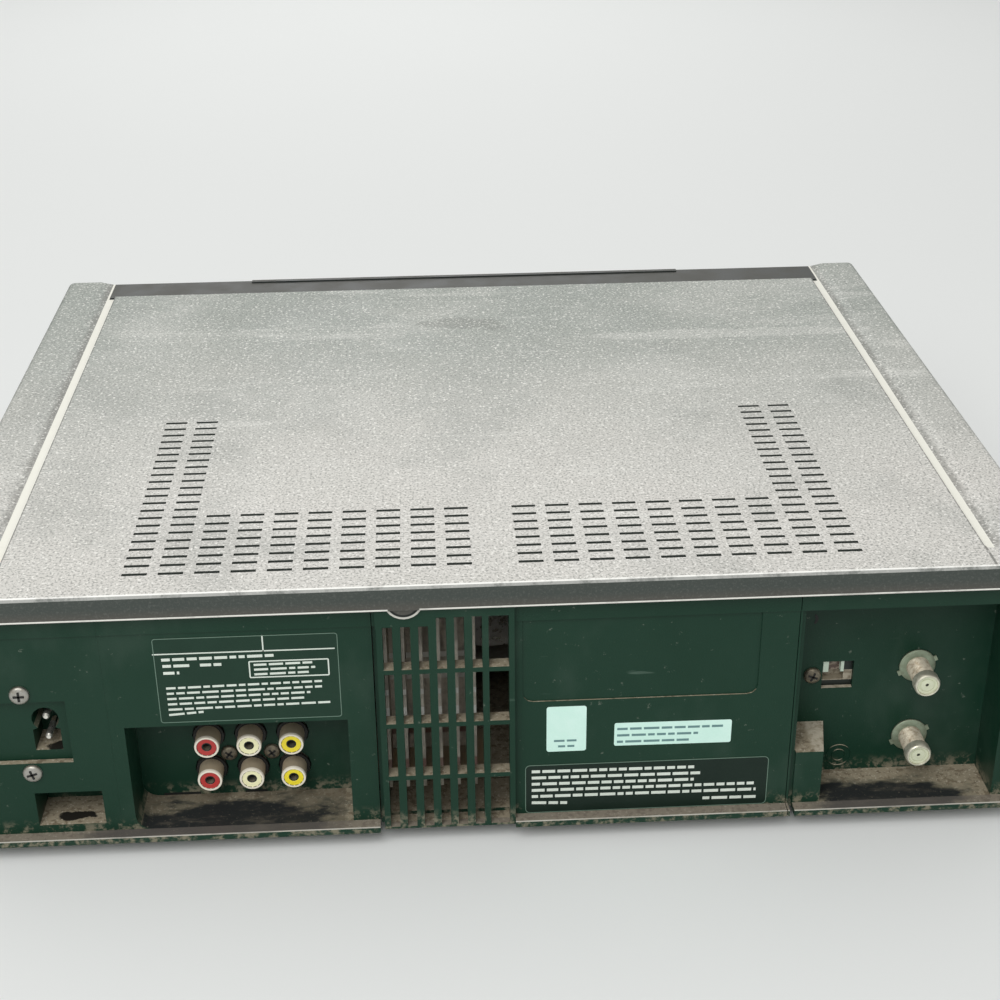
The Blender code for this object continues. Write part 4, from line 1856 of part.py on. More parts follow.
def push_buttons():
    for name, x, z in buttons():
        bm = bmesh.new()
        back = BUTTON_FLANGE_Y + BUTTON_FLANGE_THICKNESS
        prism(bm, button_outline(x, z, BUTTON_FLANGE), "Y", BUTTON_FLANGE_Y, back)
        button = add_object(name, bm, button_plastic(), (x, FRONT_Y, z))
        cap = bmesh.new()
        cap_sections = []
        bevel = BUTTON_PROUD / 2
        for y, inset in (
            (FRONT_Y, bevel), (FRONT_Y + bevel, 0), (BUTTON_FLANGE_Y + BUTTON_FLANGE_THICKNESS / 2, 0),
        ):
            cap_sections.append([(u, y, v) for u, v in button_outline(x, z, -inset)])
        loft(cap, cap_sections)
        join(button, "cap", cap)
        stem = bmesh.new()
        end = DISPLAY_BOARD_Y - BUTTON_TRAVEL - FIT_GAP
        cylinder(stem, (x, 0, z), BUTTON_STEM_RADIUS, back - BUTTON_FLANGE_THICKNESS / 2, end, "Y", COARSE)
        join(button, "stem", stem)


def channel_rocker():
    half_width = ROCKER_WIDTH / 2
    half_height = BUTTON_HEIGHT / 2
    bm = bmesh.new()
    rear = FRONT_Y + ROCKER_DEPTH
    dip = BUTTON_PROUD / 2
    outline = [
        (ROCKER_X - half_width, FRONT_Y), (ROCKER_X - half_width / 4, FRONT_Y + dip),
        (ROCKER_X + half_width / 4, FRONT_Y + dip), (ROCKER_X + half_width, FRONT_Y),
        (ROCKER_X + half_width, rear - dip), (ROCKER_X, rear), (ROCKER_X - half_width, rear - dip),
    ]
    prism(bm, outline, "Z", ROCKER_Z - half_height, ROCKER_Z + half_height)
    rocker = add_object("channel_rocker", bm, button_plastic(), (ROCKER_X, ROCKER_Y, ROCKER_Z))
    pins = bmesh.new()
    reach = half_height + ROCKER_PIN_LENGTH
    cylinder(pins, (ROCKER_X, ROCKER_Y, ROCKER_Z), ROCKER_PIN_RADIUS, -reach, reach, steps=COARSE)
    join(rocker, "pins", pins)


def front_jack_places():
    middle_x = (FLAP_LEFT_X + FLAP_RIGHT_X) / 2
    for k in range(FRONT_JACK_COUNT):
        x = middle_x + (k - (FRONT_JACK_COUNT - 1) / 2) * FRONT_JACK_PITCH
        yield x, (FLAP_BOTTOM_Z + FLAP_TOP_Z + FLAP_RIM) / 2


def front_flap():
    y0 = FASCIA_FACE_Y
    bm = bmesh.new()
    outline = [(y0, FLAP_TOP_Z), (y0, FLAP_AXIS_Z)]
    outline += arc((FLAP_AXIS_Y, FLAP_AXIS_Z), FLAP_THICKNESS / 2, 180, 360, HALF_TURN_STEPS)
    outline += [(y0 + FLAP_THICKNESS, FLAP_TOP_Z)]
    prism(bm, outline, "X", FLAP_LEFT_X, FLAP_RIGHT_X)
    flap = add_object("front_flap", bm, fascia_plastic(), (0, FLAP_AXIS_Y, FLAP_AXIS_Z))
    pins = bmesh.new()
    for side, x in ((-1, FLAP_LEFT_X), (1, FLAP_RIGHT_X)):
        low, high = sorted((x - side * OVERRUN, x + side * HINGE_PIN_LENGTH))
        cylinder(pins, (0, FLAP_AXIS_Y, FLAP_AXIS_Z), HINGE_PIN_RADIUS, low, high, "X", COARSE)
    join(flap, "pins", pins)



def front_jack_block():
    back = FASCIA_INNER_Y + FLAP_WELL_DEPTH
    seat = back + FASCIA_WALL + FIT_GAP
    places = list(front_jack_places())
    left, right = places[0][0] - JACK_BLOCK_MARGIN, places[-1][0] + JACK_BLOCK_MARGIN
    z = places[0][1]
    bm = bmesh.new()
    block(bm, left, right, seat, DISPLAY_BOARD_Y - FIT_GAP, z - JACK_BLOCK_MARGIN, z + JACK_BLOCK_MARGIN)
    carrier = add_object("front_jack_block", bm, black_plastic())
    sleeves = bmesh.new()
    profile = phono_profile(0, FRONT_JACK_REACH + FASCIA_WALL + FIT_GAP + OVERRUN / 2, FRONT_JACK_RADIUS)
    for x, z in places:
        made = lathe(sleeves, profile, (0, 0, 0), "Y", PLAIN)
        turn = Matrix.Translation((x, seat + OVERRUN / 2, z)) @ Matrix.Rotation(math.pi, 4, "Z")
        bmesh.ops.transform(sleeves, matrix=turn, verts=made)
    join(carrier, "sleeves", sleeves)


def main():
    clear_scene()
    top_cover()
    bottom_tray()
    feet()
    rear_panel()
    jack_recess()
    aerial_recess()
    cord_recess()
    ac_inlet()
    jack_block()
    rf_unit()
    channel_switch()
    power_parts(boards())
    heat_sink()
    mech_deck()
    reels()
    drum()
    capstan()
    clutch_and_belt()
    pinch_roller()
    guides()
    fixed_heads()
    loading_motor()
    cassette_holder()
    brackets()
    carriage_frame()
    fascia()
    cassette_door()
    display()
    push_buttons()
    channel_rocker()
    front_flap()
    front_jack_block()


main()
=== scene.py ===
"""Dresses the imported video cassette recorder: materials, small fasteners, plates, stage and light.

Everything is in metres in the frame of the CAD: +Z up, sockets at +Y, cassette door at -Y.
"""

import json
import math
import random

import bmesh
import bpy
from mathutils import Matrix, Vector


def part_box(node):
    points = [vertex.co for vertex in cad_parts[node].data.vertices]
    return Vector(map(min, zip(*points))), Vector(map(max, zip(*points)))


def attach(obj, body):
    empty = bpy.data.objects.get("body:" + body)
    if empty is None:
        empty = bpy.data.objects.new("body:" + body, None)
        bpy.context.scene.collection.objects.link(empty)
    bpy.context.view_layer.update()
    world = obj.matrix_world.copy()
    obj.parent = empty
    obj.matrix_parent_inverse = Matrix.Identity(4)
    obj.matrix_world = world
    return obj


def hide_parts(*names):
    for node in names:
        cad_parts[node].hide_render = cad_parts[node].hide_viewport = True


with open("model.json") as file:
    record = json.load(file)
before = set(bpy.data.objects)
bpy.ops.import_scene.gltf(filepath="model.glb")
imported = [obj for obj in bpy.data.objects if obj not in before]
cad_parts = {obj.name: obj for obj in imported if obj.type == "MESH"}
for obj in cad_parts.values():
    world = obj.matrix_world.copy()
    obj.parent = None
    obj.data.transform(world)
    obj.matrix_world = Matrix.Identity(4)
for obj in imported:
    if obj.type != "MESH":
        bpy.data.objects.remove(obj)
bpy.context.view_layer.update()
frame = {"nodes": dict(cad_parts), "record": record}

CHASSIS = "chassis"
LIFT = 0.00012
PRINT = 0.00008
FLUSH = 0.00001
SHARP_ANGLE = 35

# Camera, from the photograph's perspective
CAMERA_PLACE = (0.02503, 0.70731, 0.42793)
CAMERA_RIGHT = (-0.99852, 0.05354, -0.00911)
CAMERA_DOWN = (0.03243, 0.45332, -0.89076)
CAMERA_AHEAD = (-0.04356, -0.88974, -0.45439)
CAMERA_LENS = 60.714
CAMERA_REACH = 50
SENSOR_WIDTH = 36.0

# Stage and light
FLOOR_HALF = 6.0
FLOOR_COLOUR = (0.80, 0.81, 0.80)
FLOOR_SHADE = (0.74, 0.75, 0.74)
WORLD_COLOUR = (0.90, 0.91, 0.90)
WORLD_STRENGTH = 0.62

# Cover, as in the CAD
HEM_Z = (0.1090, 0.1101)
LIP_FOOT_Z = 0.1098
GROOVE_FLOOR_X = (0.1866, 0.1903)
GROOVE_STEP_SHADE_X = (0.1857, 0.1864)
TONGUE = (0.0348, 0.1125)
TONGUE_RADIUS = 0.0072

# Rear walls, as in the CAD
REAR_Y = 0.171
PANEL_Y = 0.1655
JACK_WALL_Y = 0.1440
RF_WALL_Y = 0.1445
BAND_Y = 0.1663
BAND_FOOT_Z = 0.1005
BAND_TOP_Z = 0.1092
LEDGE_TOP_Z = 0.0105
LEDGE_FOOT_Z = 0.0081
INLET_SEAM_X = 0.14915
SEAM_WIDTH = 0.0003
SEAM_DEPTH = 0.0012

# Phono sockets
FIRST_JACK = (0.0816, 0.0233)
JACK_PITCH = (0.01665, 0.0160)
JACK_REACH = 0.0090
JACK_RADIUS = 0.0048
JACK_COLLAR_RADIUS = 0.0061
JACK_MOUTH_RADIUS = 0.0019
JACK_LIP = 0.00085
JACK_COLOURS = ("yellow", "white", "red")

# Aerial sockets
BARREL_RADIUS = 0.00462
TIP_RADIUS = 0.00520
BORE_RADIUS = 0.00400
THREAD_PITCH = 0.00079
THREAD_DEPTH = 0.00045
TIP_LENGTH = 0.0042
FACE_DEPTH = 0.0007

# Screws, as (x, wall, z, radius, dirty)
SCREW_HEIGHT = 0.0019
SCREWS = (
    (0.1806, PANEL_Y, 0.0755, 0.0038, False),
    (0.1803, PANEL_Y, 0.0396, 0.0037, False),
    (0.0903, JACK_WALL_Y, 0.0305, 0.0033, True),
    (0.1074, JACK_WALL_Y, 0.0305, 0.0033, True),
    (-0.1270, RF_WALL_Y, 0.0573, 0.0035, True),
)

# Mains inlet, switch and heat sink
PIN_X = 0.1732
PIN_RADIUS = 0.0012 + LIFT
PIN_BASE_Y = 0.1520
PIN_TIP_Y = 0.1616
PIN_HEIGHTS = (("lower", 0.0532), ("upper", 0.0624))
GRIP_X = -0.13615
GRIP_HALF = 0.0023
SWITCH_STRIP_Z = (0.0532, 0.0577)
SINK_HIGHLIGHT_BANDS = ((0.0500, 0.0540), (0.0602, 0.0624))
SINK_STAIN = (0.0235, 0.0290)
POWER_BOARD_TOP = (0.0176, 0.0182)

# Plates and stickers, as (x0, x1, z0, z1)
RATING_PLATE = (0.0600, 0.1290, 0.0603, 0.0979)
RATING_BOX = (0.0637, 0.0939, 0.0792, 0.0868)
RATING_RULES = [((0.0615, 0.0911), (0.1291, 0.0911)), ((0.0880, 0.0911), (0.0880, 0.0977))]
SMALL_STICKER = (-0.0342, -0.0187, 0.0400, 0.0609)
LONG_STICKER = (-0.0912, -0.0452, 0.0415, 0.0521)
LONG_STICKER_TILT = math.radians(-0.4)
NOTICE_PLATE = (-0.1070, -0.0103, 0.0107, 0.0338)
STICKER_THICKNESS = 0.00015

# Bars in place of words, as rows from (x, z) to (x, z)
RATING_LARGE = [
    ((0.1262, 0.0886), (0.0835, 0.0890)),
    ((0.1260, 0.0858), (0.1160, 0.0858)),
    ((0.1120, 0.0858), (0.1040, 0.0858)),
    ((0.1260, 0.0827), (0.1200, 0.0827)),
]
RATING_BOXED = [
    ((0.0920, 0.0850), (0.0700, 0.0853)),
    ((0.0920, 0.0829), (0.0690, 0.0832)),
    ((0.0920, 0.0808), (0.0712, 0.0811)),
]
RATING_SMALL_ENDS = (0.0668, 0.0664, 0.0715, 0.0740, 0.0625, 0.1125)
SMALL_STICKER_ROWS = [((-0.0216, 0.0450), (-0.0312, 0.0450)), ((-0.0232, 0.0424), (-0.0296, 0.0424))]
LONG_STICKER_ROWS = [
    ((-0.0463, 0.0495), (-0.0890, 0.0492)),
    ((-0.0463, 0.0465), (-0.0781, 0.0463)),
    ((-0.0463, 0.0435), (-0.0756, 0.0433)),
]
NOTICE_ENDS = (-0.0773, -0.0798, -0.0774, -0.1016, -0.1025, -0.0270)
BAR_LENGTHS = (0.0022, 0.0064)
BAR_SPACE = 0.0009
SHORTEST_BAR = 0.0008


# Materials


def srgb(red, green, blue):
    """A colour written in 8-bit display values."""
    shares = (c / 255 for c in (red, green, blue))
    return tuple(c / 12.92 if c <= 0.04045 else ((c + 0.055) / 1.055) ** 2.4 for c in shares)


DUST = srgb(150, 140, 120)
DARK_DUST = srgb(104, 92, 74)
PALE_DUST = srgb(196, 188, 170)
WIPED = srgb(40, 42, 42)
BAY_DUST = srgb(96, 88, 74)
DARK = srgb(14, 14, 12)


class Shader:
    """A Principled material and the few node patterns that this scene uses."""

    def __init__(self, name, colour, roughness, metallic=0.0):
        self.material = bpy.data.materials.new(name)
        self.material.use_nodes = True
        self.tree = self.material.node_tree
        self.nodes = self.tree.nodes
        self.bsdf = self.nodes["Principled BSDF"]
        self.bsdf.inputs["Base Color"].default_value = (*colour, 1)
        self.bsdf.inputs["Roughness"].default_value = roughness
        self.bsdf.inputs["Metallic"].default_value = metallic
        self.colour = None
        self.base = colour
        self.place = self.nodes.new("ShaderNodeTexCoord").outputs["Object"]

    def link(self, source, target):
        self.tree.links.new(source, target)

    def noise(self, scale, detail=3.0, roughness=0.5, stretch=(1, 1, 1)):
        """A value round 0.5 that varies over about 1/scale metres."""
        mapping = self.nodes.new("ShaderNodeMapping")
        mapping.inputs["Scale"].default_value = stretch
        self.link(self.place, mapping.inputs["Vector"])
        texture = self.nodes.new("ShaderNodeTexNoise")
        texture.inputs["Scale"].default_value = scale
        texture.inputs["Detail"].default_value = detail
        texture.inputs["Roughness"].default_value = roughness
        self.link(mapping.outputs["Vector"], texture.inputs["Vector"])
        return texture.outputs["Fac"]

    def steps(self, value, low, high, bottom=0.0, top=1.0):
        """Maps low..high to bottom..top, smoothly and clamped."""
        node = self.nodes.new("ShaderNodeMapRange")
        node.interpolation_type = "SMOOTHSTEP"
        for name, number in (("From Min", low), ("From Max", high), ("To Min", bottom), ("To Max", top)):
            node.inputs[name].default_value = number
        self.link(value, node.inputs["Value"])
        return node.outputs["Result"]

    def mottle(self, scale, low, high, bottom=0.0, top=1.0, detail=4, roughness=0.6, stretch=(1, 1, 1)):
        """Patches about 1/scale metres wide, with a mask from bottom to top."""
        return self.steps(self.noise(scale, detail, roughness, stretch), low, high, bottom, top)

    def math(self, operation, first, second):
        node = self.nodes.new("ShaderNodeMath")
        node.operation = operation
        for socket, value in zip(node.inputs, (first, second)):
            if isinstance(value, (int, float)):
                socket.default_value = value
            else:
                self.link(value, socket)
        return node.outputs["Value"]

    def product(self, *factors):
        """Several masks and shares multiplied together."""
        total = factors[0]
        for factor in factors[1:]:
            total = self.math("MULTIPLY", total, factor)
        return total

    def lay(self, colour, *factors):
        """Lays a colour over what is there so far, as far as the product of the factors says."""
        node = self.nodes.new("ShaderNodeMix")
        node.data_type = "RGBA"
        self.link(self.product(*factors), node.inputs["Factor"])
        if self.colour is None:
            node.inputs["A"].default_value = (*self.base, 1)
        else:
            self.link(self.colour, node.inputs["A"])
        node.inputs["B"].default_value = (*colour, 1)
        self.colour = node.outputs["Result"]
        self.link(self.colour, self.bsdf.inputs["Base Color"])

    def bump(self, height, distance):
        node = self.nodes.new("ShaderNodeBump")
        node.inputs["Distance"].default_value = distance
        self.link(height, node.inputs["Height"])
        self.link(node.outputs["Normal"], self.bsdf.inputs["Normal"])

    def rough(self, value):
        self.link(value, self.bsdf.inputs["Roughness"])

    def gloss(self, level):
        self.bsdf.inputs["Specular IOR Level"].default_value = level

    def axis(self, name):
        """The piece's own X, Y or Z, in metres."""
        node = self.nodes.new("ShaderNodeSeparateXYZ")
        self.link(self.place, node.inputs["Vector"])
        return node.outputs[name]

    def facing_up(self):
        """1 on a face that looks straight up, 0 on a wall."""
        geometry = self.nodes.new("ShaderNodeNewGeometry")
        node = self.nodes.new("ShaderNodeSeparateXYZ")
        self.link(geometry.outputs["Normal"], node.inputs["Vector"])
        return node.outputs["Z"]

    def within(self, value, low, high, soft):
        """1 between low and high, fading out over soft on either side."""
        return self.product(self.steps(value, low - soft, low), self.steps(value, high + soft, high))

    def distance(self, centre, radii, axes):
        """How far a point lies from centre along two axes, in shares of the radii."""
        squares = []
        for middle, radius, name in zip(centre, radii, axes):
            share = self.math("DIVIDE", self.math("SUBTRACT", self.axis(name), middle), radius)
            squares.append(self.math("MULTIPLY", share, share))
        return self.math("SQRT", self.math("ADD", *squares), 0)

    def patch(self, centre, radii, ragged, scale, soft=0.12, stretch=(1, 1, 1)):
        """1 inside an ellipse on X and Y with a ragged edge, which fades over soft of its radii."""
        grain = self.noise(scale, 5, 0.65, stretch)
        wobble = self.math("MULTIPLY", self.math("SUBTRACT", grain, 0.5), ragged * 2)
        edge = self.math("ADD", self.distance(centre, radii, ("X", "Y")), wobble)
        return self.steps(edge, 1 + soft, 1 - soft)


def dust_layer(shader, mask):
    """Grey-brown dust with darker and paler grains, as thick as mask says."""
    shader.lay(DUST, mask)
    shader.lay(DARK_DUST, mask, shader.mottle(420, 0.50, 0.62, 0, 0.75))
    shader.lay(PALE_DUST, mask, shader.mottle(900, 0.56, 0.68, 0, 0.7, 3))


def dusty(shader, amount, colour=DUST, scale=60):
    """Dust that lies on what faces up, patchy over a few millimetres."""
    flat = shader.steps(shader.facing_up(), 0.35, 0.9)
    shader.lay(colour, flat, shader.mottle(scale, 0.30, 0.62, amount * 0.35, amount, 5, 0.65))


def worn_top_and_sheen(shader, top, depth):
    """Years of dust on the cover's top, with streaks and smears; the paler top near the sockets is partly
    dust and partly painted sheen.
    """
    wobble = shader.math("MULTIPLY", shader.noise(7, 4, 0.6), 0.16)
    # painted sheen and dust: the top grows paler towards the sockets
    near = shader.steps(shader.math("ADD", depth, wobble), -0.06, 0.20)
    shader.lay(srgb(152, 157, 150), top)
    shader.lay(srgb(207, 204, 198), top, near, 0.96)
    shader.lay(srgb(206, 205, 199), top, shader.mottle(11, 0.46, 0.70, 0, 0.40, 5, 0.6, (1, 1.3, 1)))
    shader.lay(srgb(140, 143, 137), top, shader.mottle(13, 0.50, 0.30, 0, 0.35))
    shader.lay(srgb(220, 219, 213), top, shader.mottle(26, 0.57, 0.72, 0, 0.5, 5, 0.62, (0.28, 1.5, 1)))
    shader.lay(srgb(116, 119, 112), top, shader.patch((0.004, -0.094), (0.019, 0.007), 0.6, 70), 0.42)
    shader.lay(srgb(120, 122, 116), top, shader.patch((-0.012, -0.086), (0.006, 0.004), 0.5, 120), 0.35)
    shader.lay(srgb(216, 215, 209), top, shader.patch((-0.115, -0.070), (0.075, 0.006), 0.9, 30), 0.34)


def cover_paint():
    """Dark grey crackle paint, greyed on top by years of dust and wear; painted sheen brightens the top near
    the sockets, and painted shade lies along the grooves and round the tongue.
    """
    shader = Shader("cover_paint", srgb(59, 65, 61), 0.5)
    shader.gloss(0.35)
    side = shader.math("ABSOLUTE", shader.axis("X"), 0)
    depth = shader.axis("Y")
    height = shader.axis("Z")
    up = shader.facing_up()
    top = shader.steps(up, 0.6, 0.96)
    rear = shader.steps(depth, 0.1688, 0.1694)

    # Lip, top and grooves
    shader.lay(srgb(79, 75, 69), shader.steps(height, 0.1150, LIP_FOOT_Z, 0, 0.7))
    worn_top_and_sheen(shader, top, depth)
    floor = shader.product(
        top, shader.within(side, *GROOVE_FLOOR_X, 0.0003), shader.steps(depth, 0.1575, 0.1560)
    )
    slope = shader.product(
        top, shader.steps(side, 0.1899, 0.1906), shader.steps(side, 0.1946, 0.1915),
        shader.steps(depth, 0.158, 0.150), shader.mottle(60, 0.25, 0.6, 0.2, 0.6),
    )
    # painted shade on the outer slope of each groove
    shader.lay(srgb(104, 101, 94), slope)
    # painted shadow: a dark line at the foot of the step down into each groove
    shader.lay(srgb(74, 72, 67), top, shader.within(side, *GROOVE_STEP_SHADE_X, 0.0003), 0.7)

    # Dark and pale grains of the crackle
    dark = shader.mottle(1000, 0.51, 0.62, 0, 0.58, 2, 0.5)
    shader.lay(srgb(104, 106, 101), dark, shader.steps(up, 0.2, 0.95, 0.2, 1))
    pale = shader.mottle(760, 0.55, 0.66, 0, 0.66, 3)
    shader.lay(srgb(246, 244, 238), pale, shader.steps(up, 0.2, 0.95, 0.04, 1))
    shader.lay(srgb(236, 234, 223), floor, shader.mottle(150, 0.2, 0.5, 0.9, 1))

    # Bare metal on the rear fold and hem, and on the tongue a crescent of painted shade inside a pale rim,
    # which is partly worn edge and partly painted highlight
    fold = shader.product(rear, shader.steps(up, 0.30, 0.50), shader.steps(up, 0.99, 0.90))
    shader.lay(srgb(240, 239, 234), fold, shader.mottle(70, 0.36, 0.52, 0.45, 1, 5, 0.7))
    aside = shader.math("ABSOLUTE", shader.math("SUBTRACT", shader.axis("X"), TONGUE[0]), 0)
    hem = shader.product(rear, shader.within(height, *HEM_Z, 0.0002), shader.steps(aside, 0.0056, 0.0061))
    shader.lay(srgb(226, 224, 217), hem, shader.mottle(55, 0.30, 0.5, 0.6, 1, 5, 0.7))
    tongue = shader.distance(TONGUE, (TONGUE_RADIUS, TONGUE_RADIUS), ("X", "Z"))
    below = shader.product(shader.steps(depth, 0.160, 0.165), shader.steps(height, LIP_FOOT_Z, 0.1094))
    # painted shade: the dark crescent where the tongue is set back under the lip
    shader.lay(srgb(14, 18, 16), below, shader.steps(tongue, 0.72, 0.78))
    # the tongue's pale rim: worn edge with a painted highlight
    shader.lay(srgb(188, 186, 178), below, shader.steps(tongue, 0.86, 0.90))
    shader.bump(shader.noise(1300, 3, 0.6), 0.00012)
    shader.rough(shader.mottle(14, 0.3, 0.7, 0.44, 0.6))
    return shader.material


def panel_plastic():
    """Green-black moulding, dusty where it faces up and wiped in front of the sockets."""
    shader = Shader("panel_plastic", srgb(17, 49, 35), 0.42)
    shader.gloss(0.22)
    depth = shader.axis("Y")
    height = shader.axis("Z")
    across = shader.axis("X")
    up = shader.steps(shader.facing_up(), 0.45, 0.9)
    low = shader.steps(height, 0.013, 0.012)

    # Scuffs, smudges and specks on the walls
    shader.lay(srgb(25, 55, 41), shader.mottle(16, 0.36, 0.70, 0, 0.5))
    scuffs = shader.mottle(90, 0.68, 0.74, 0, 0.45, 3, 0.55, (0.30, 1, 2.2))
    shader.lay(srgb(92, 112, 100), scuffs, shader.mottle(9, 0.50, 0.60, 0, 1, 2, 0.5))
    shader.lay(srgb(66, 82, 72), shader.mottle(24, 0.52, 0.72, 0, 0.22, 4, 0.6, (1, 1, 0.6)))
    shader.lay(srgb(112, 120, 108), shader.mottle(300, 0.66, 0.74, 0, 0.55, 4, 0.7))
    foot = shader.steps(height, 0.018, 0.0105)
    shader.lay(DUST, foot, shader.mottle(240, 0.46, 0.62, 0, 0.6, 5, 0.7))

    # The floors of the bays: wiped in front of the sockets, dusty elsewhere
    by_jacks = shader.patch((0.1075, 0.1680), (0.0460, 0.0215), 0.8, 75, 0.22, (0.5, 1, 1))
    by_aerial = shader.patch((-0.1575, 0.1680), (0.0300, 0.0165), 1.0, 70, 0.25, (0.5, 1, 1))
    wiped = shader.product(shader.math("MAXIMUM", by_jacks, by_aerial), low)
    clean = shader.math("SUBTRACT", 1.0, wiped)
    shader.lay(WIPED, up, wiped)
    shader.lay(srgb(96, 90, 80), up, wiped, shader.mottle(170, 0.50, 0.72, 0, 0.6, 5, 0.7, (0.35, 1, 1)))
    shader.lay(srgb(140, 132, 116), up, wiped, shader.mottle(900, 0.62, 0.72, 0, 0.4, 3))
    dust_layer(shader, shader.product(up, clean, shader.mottle(120, 0.25, 0.5, 0.78, 1, 5, 0.65)))
    block = shader.product(up, shader.steps(height, 0.024, 0.026), shader.steps(across, -0.124, -0.126))
    shader.lay(PALE_DUST, block, shader.mottle(500, 0.35, 0.6, 0.2, 0.75))
    jack_bay = shader.product(shader.within(across, 0.062, 0.146, 0.001), shader.steps(height, 0.014, 0.013))
    shader.lay(BAY_DUST, up, clean, jack_bay, shader.mottle(45, 0.3, 0.6, 0.3, 0.7))

    # The ledge, its bright rim, which is a worn edge with a painted highlight, and the crumbs in the cord's
    # pocket
    shader.lay(srgb(112, 106, 100), up, shader.within(depth, 0.1657, 0.1704, 0.0002), low, 0.55)
    # painted highlight along the ledge's worn front edge
    rim = shader.product(up, shader.steps(depth, 0.1701, 0.1704), low)
    shader.lay(srgb(206, 202, 192), rim, shader.mottle(80, 0.3, 0.55, 0.55, 1))
    crumbs = shader.product(up, shader.patch((0.1676, 0.1600), (0.0070, 0.0028), 0.9, 220))
    shader.lay(srgb(36, 34, 30), crumbs, shader.steps(height, 0.0139, 0.0141))
    shader.bump(shader.noise(1500, 2, 0.5), 0.00005)
    shader.rough(shader.mottle(40, 0.3, 0.7, 0.36, 0.52))
    return shader.material


def moulded(name, colour, roughness=0.45, dust=0.5):
    """Plain plastic, with faint patches and dust on top."""
    shader = Shader(name, colour, roughness)
    shader.lay(tuple(min(1, c * 1.6 + 0.01) for c in colour), shader.mottle(60, 0.4, 0.75, 0, 0.2))
    dusty(shader, dust)
    shader.bump(shader.noise(1400, 2, 0.5), 0.00004)
    shader.rough(shader.mottle(60, 0.3, 0.7, roughness - 0.06, roughness + 0.1))
    return shader.material


def metal(name, colour, roughness=0.34, grime=0.5, grime_colour=DUST, shine=0.9):
    """Plated or turned metal, with as much grime as asked."""
    shader = Shader(name, colour, roughness, shine)
    shader.lay(grime_colour, shader.mottle(420, 0.42, 0.68, 0, grime, 5, 0.65))
    dusty(shader, grime)
    shader.bump(shader.noise(900, 3, 0.5), 0.00004)
    shader.rough(shader.mottle(300, 0.3, 0.7, roughness, roughness + 0.3))
    return shader.material


def power_parts():
    """The supply board: tan laminate below, brown and grey components above."""
    shader = Shader("power_parts", srgb(176, 150, 112), 0.5)
    above = shader.steps(shader.axis("Z"), *POWER_BOARD_TOP)
    shader.lay(srgb(120, 52, 38), above)
    shader.lay(srgb(176, 168, 154), above, shader.mottle(90, 0.50, 0.54, 0, 1, 2, 0.5))
    dusty(shader, 0.8)
    shader.bump(shader.noise(700, 3, 0.6), 0.0001)
    return shader.material


def sink_metal(base):
    """The fins behind the grille, with bands of painted highlight along their edges, base being the node's
    height.
    """
    shader = Shader("heat_sink_metal", srgb(226, 218, 202), 0.45, 0.12)
    height = shader.axis("Z")
    shader.lay(DUST, shader.mottle(420, 0.42, 0.68, 0, 0.3, 5, 0.65))
    shader.lay(srgb(112, 104, 92), shader.mottle(110, 0.50, 0.60, 0, 0.45, 3, 0.6, (1, 1, 0.4)))
    dusty(shader, 0.3)
    # painted highlight: near-white bands that brighten the fins where they lie in shade
    for low, high in SINK_HIGHLIGHT_BANDS:
        shader.lay(srgb(250, 248, 240), shader.within(height, low - base, high - base, 0.0003), 0.9)
    low, high = SINK_STAIN
    shader.lay(srgb(112, 50, 36), shader.within(height, low - base, high - base, 0.001), 0.7)
    shader.bump(shader.noise(900, 3, 0.5), 0.00004)
    return shader.material


def switch_parts():
    """The switch's dark body, with a dusty beige strip across its floor."""
    shader = Shader("switch_parts", srgb(16, 26, 21), 0.5)
    strip = shader.within(shader.axis("Z"), *SWITCH_STRIP_Z, 0.0002)
    shader.lay(srgb(158, 150, 132), strip)
    shader.lay(DARK_DUST, strip, shader.mottle(500, 0.45, 0.6, 0, 0.7))
    dusty(shader, 0.8)
    shader.bump(shader.noise(1400, 2, 0.5), 0.00004)
    return shader.material


def knob_plastic(middle):
    """Greenish white, brown across the hollow of the grip round middle."""
    shader = Shader("knob_plastic", srgb(184, 198, 182), 0.45)
    hollow = shader.within(shader.axis("X"), middle - GRIP_HALF, middle + GRIP_HALF, 0.0001)
    shader.lay(srgb(74, 58, 48), hollow)
    shader.lay(srgb(150, 138, 120), hollow, shader.mottle(600, 0.45, 0.6, 0, 0.6))
    shader.bump(shader.noise(1400, 2, 0.5), 0.00004)
    return shader.material


def board_lacquer():
    shader = Shader("board_lacquer", srgb(110, 84, 50), 0.5)
    shader.lay(srgb(80, 92, 48), shader.mottle(160, 0.45, 0.6, 0, 0.6))
    dusty(shader, 0.5)
    shader.bump(shader.noise(700, 3, 0.6), 0.0001)
    return shader.material


def window_plastic():
    shader = Shader("window_plastic", srgb(14, 14, 16), 0.08)
    shader.lay(srgb(34, 30, 34), shader.mottle(20, 0.4, 0.8, 0, 0.2, 3, 0.5))
    shader.bsdf.inputs["Coat Weight"].default_value = 0.5
    return shader.material


def foot_rubber():
    shader = Shader("foot_rubber", srgb(30, 30, 30), 0.8)
    shader.lay(srgb(66, 64, 60), shader.mottle(180, 0.45, 0.7, 0, 0.4))
    shader.bump(shader.noise(800, 3, 0.6), 0.0001)
    return shader.material


def set_gloss(material, level):
    """Takes the shine of a finished material down to level."""
    material.node_tree.nodes["Principled BSDF"].inputs["Specular IOR Level"].default_value = level
    return material


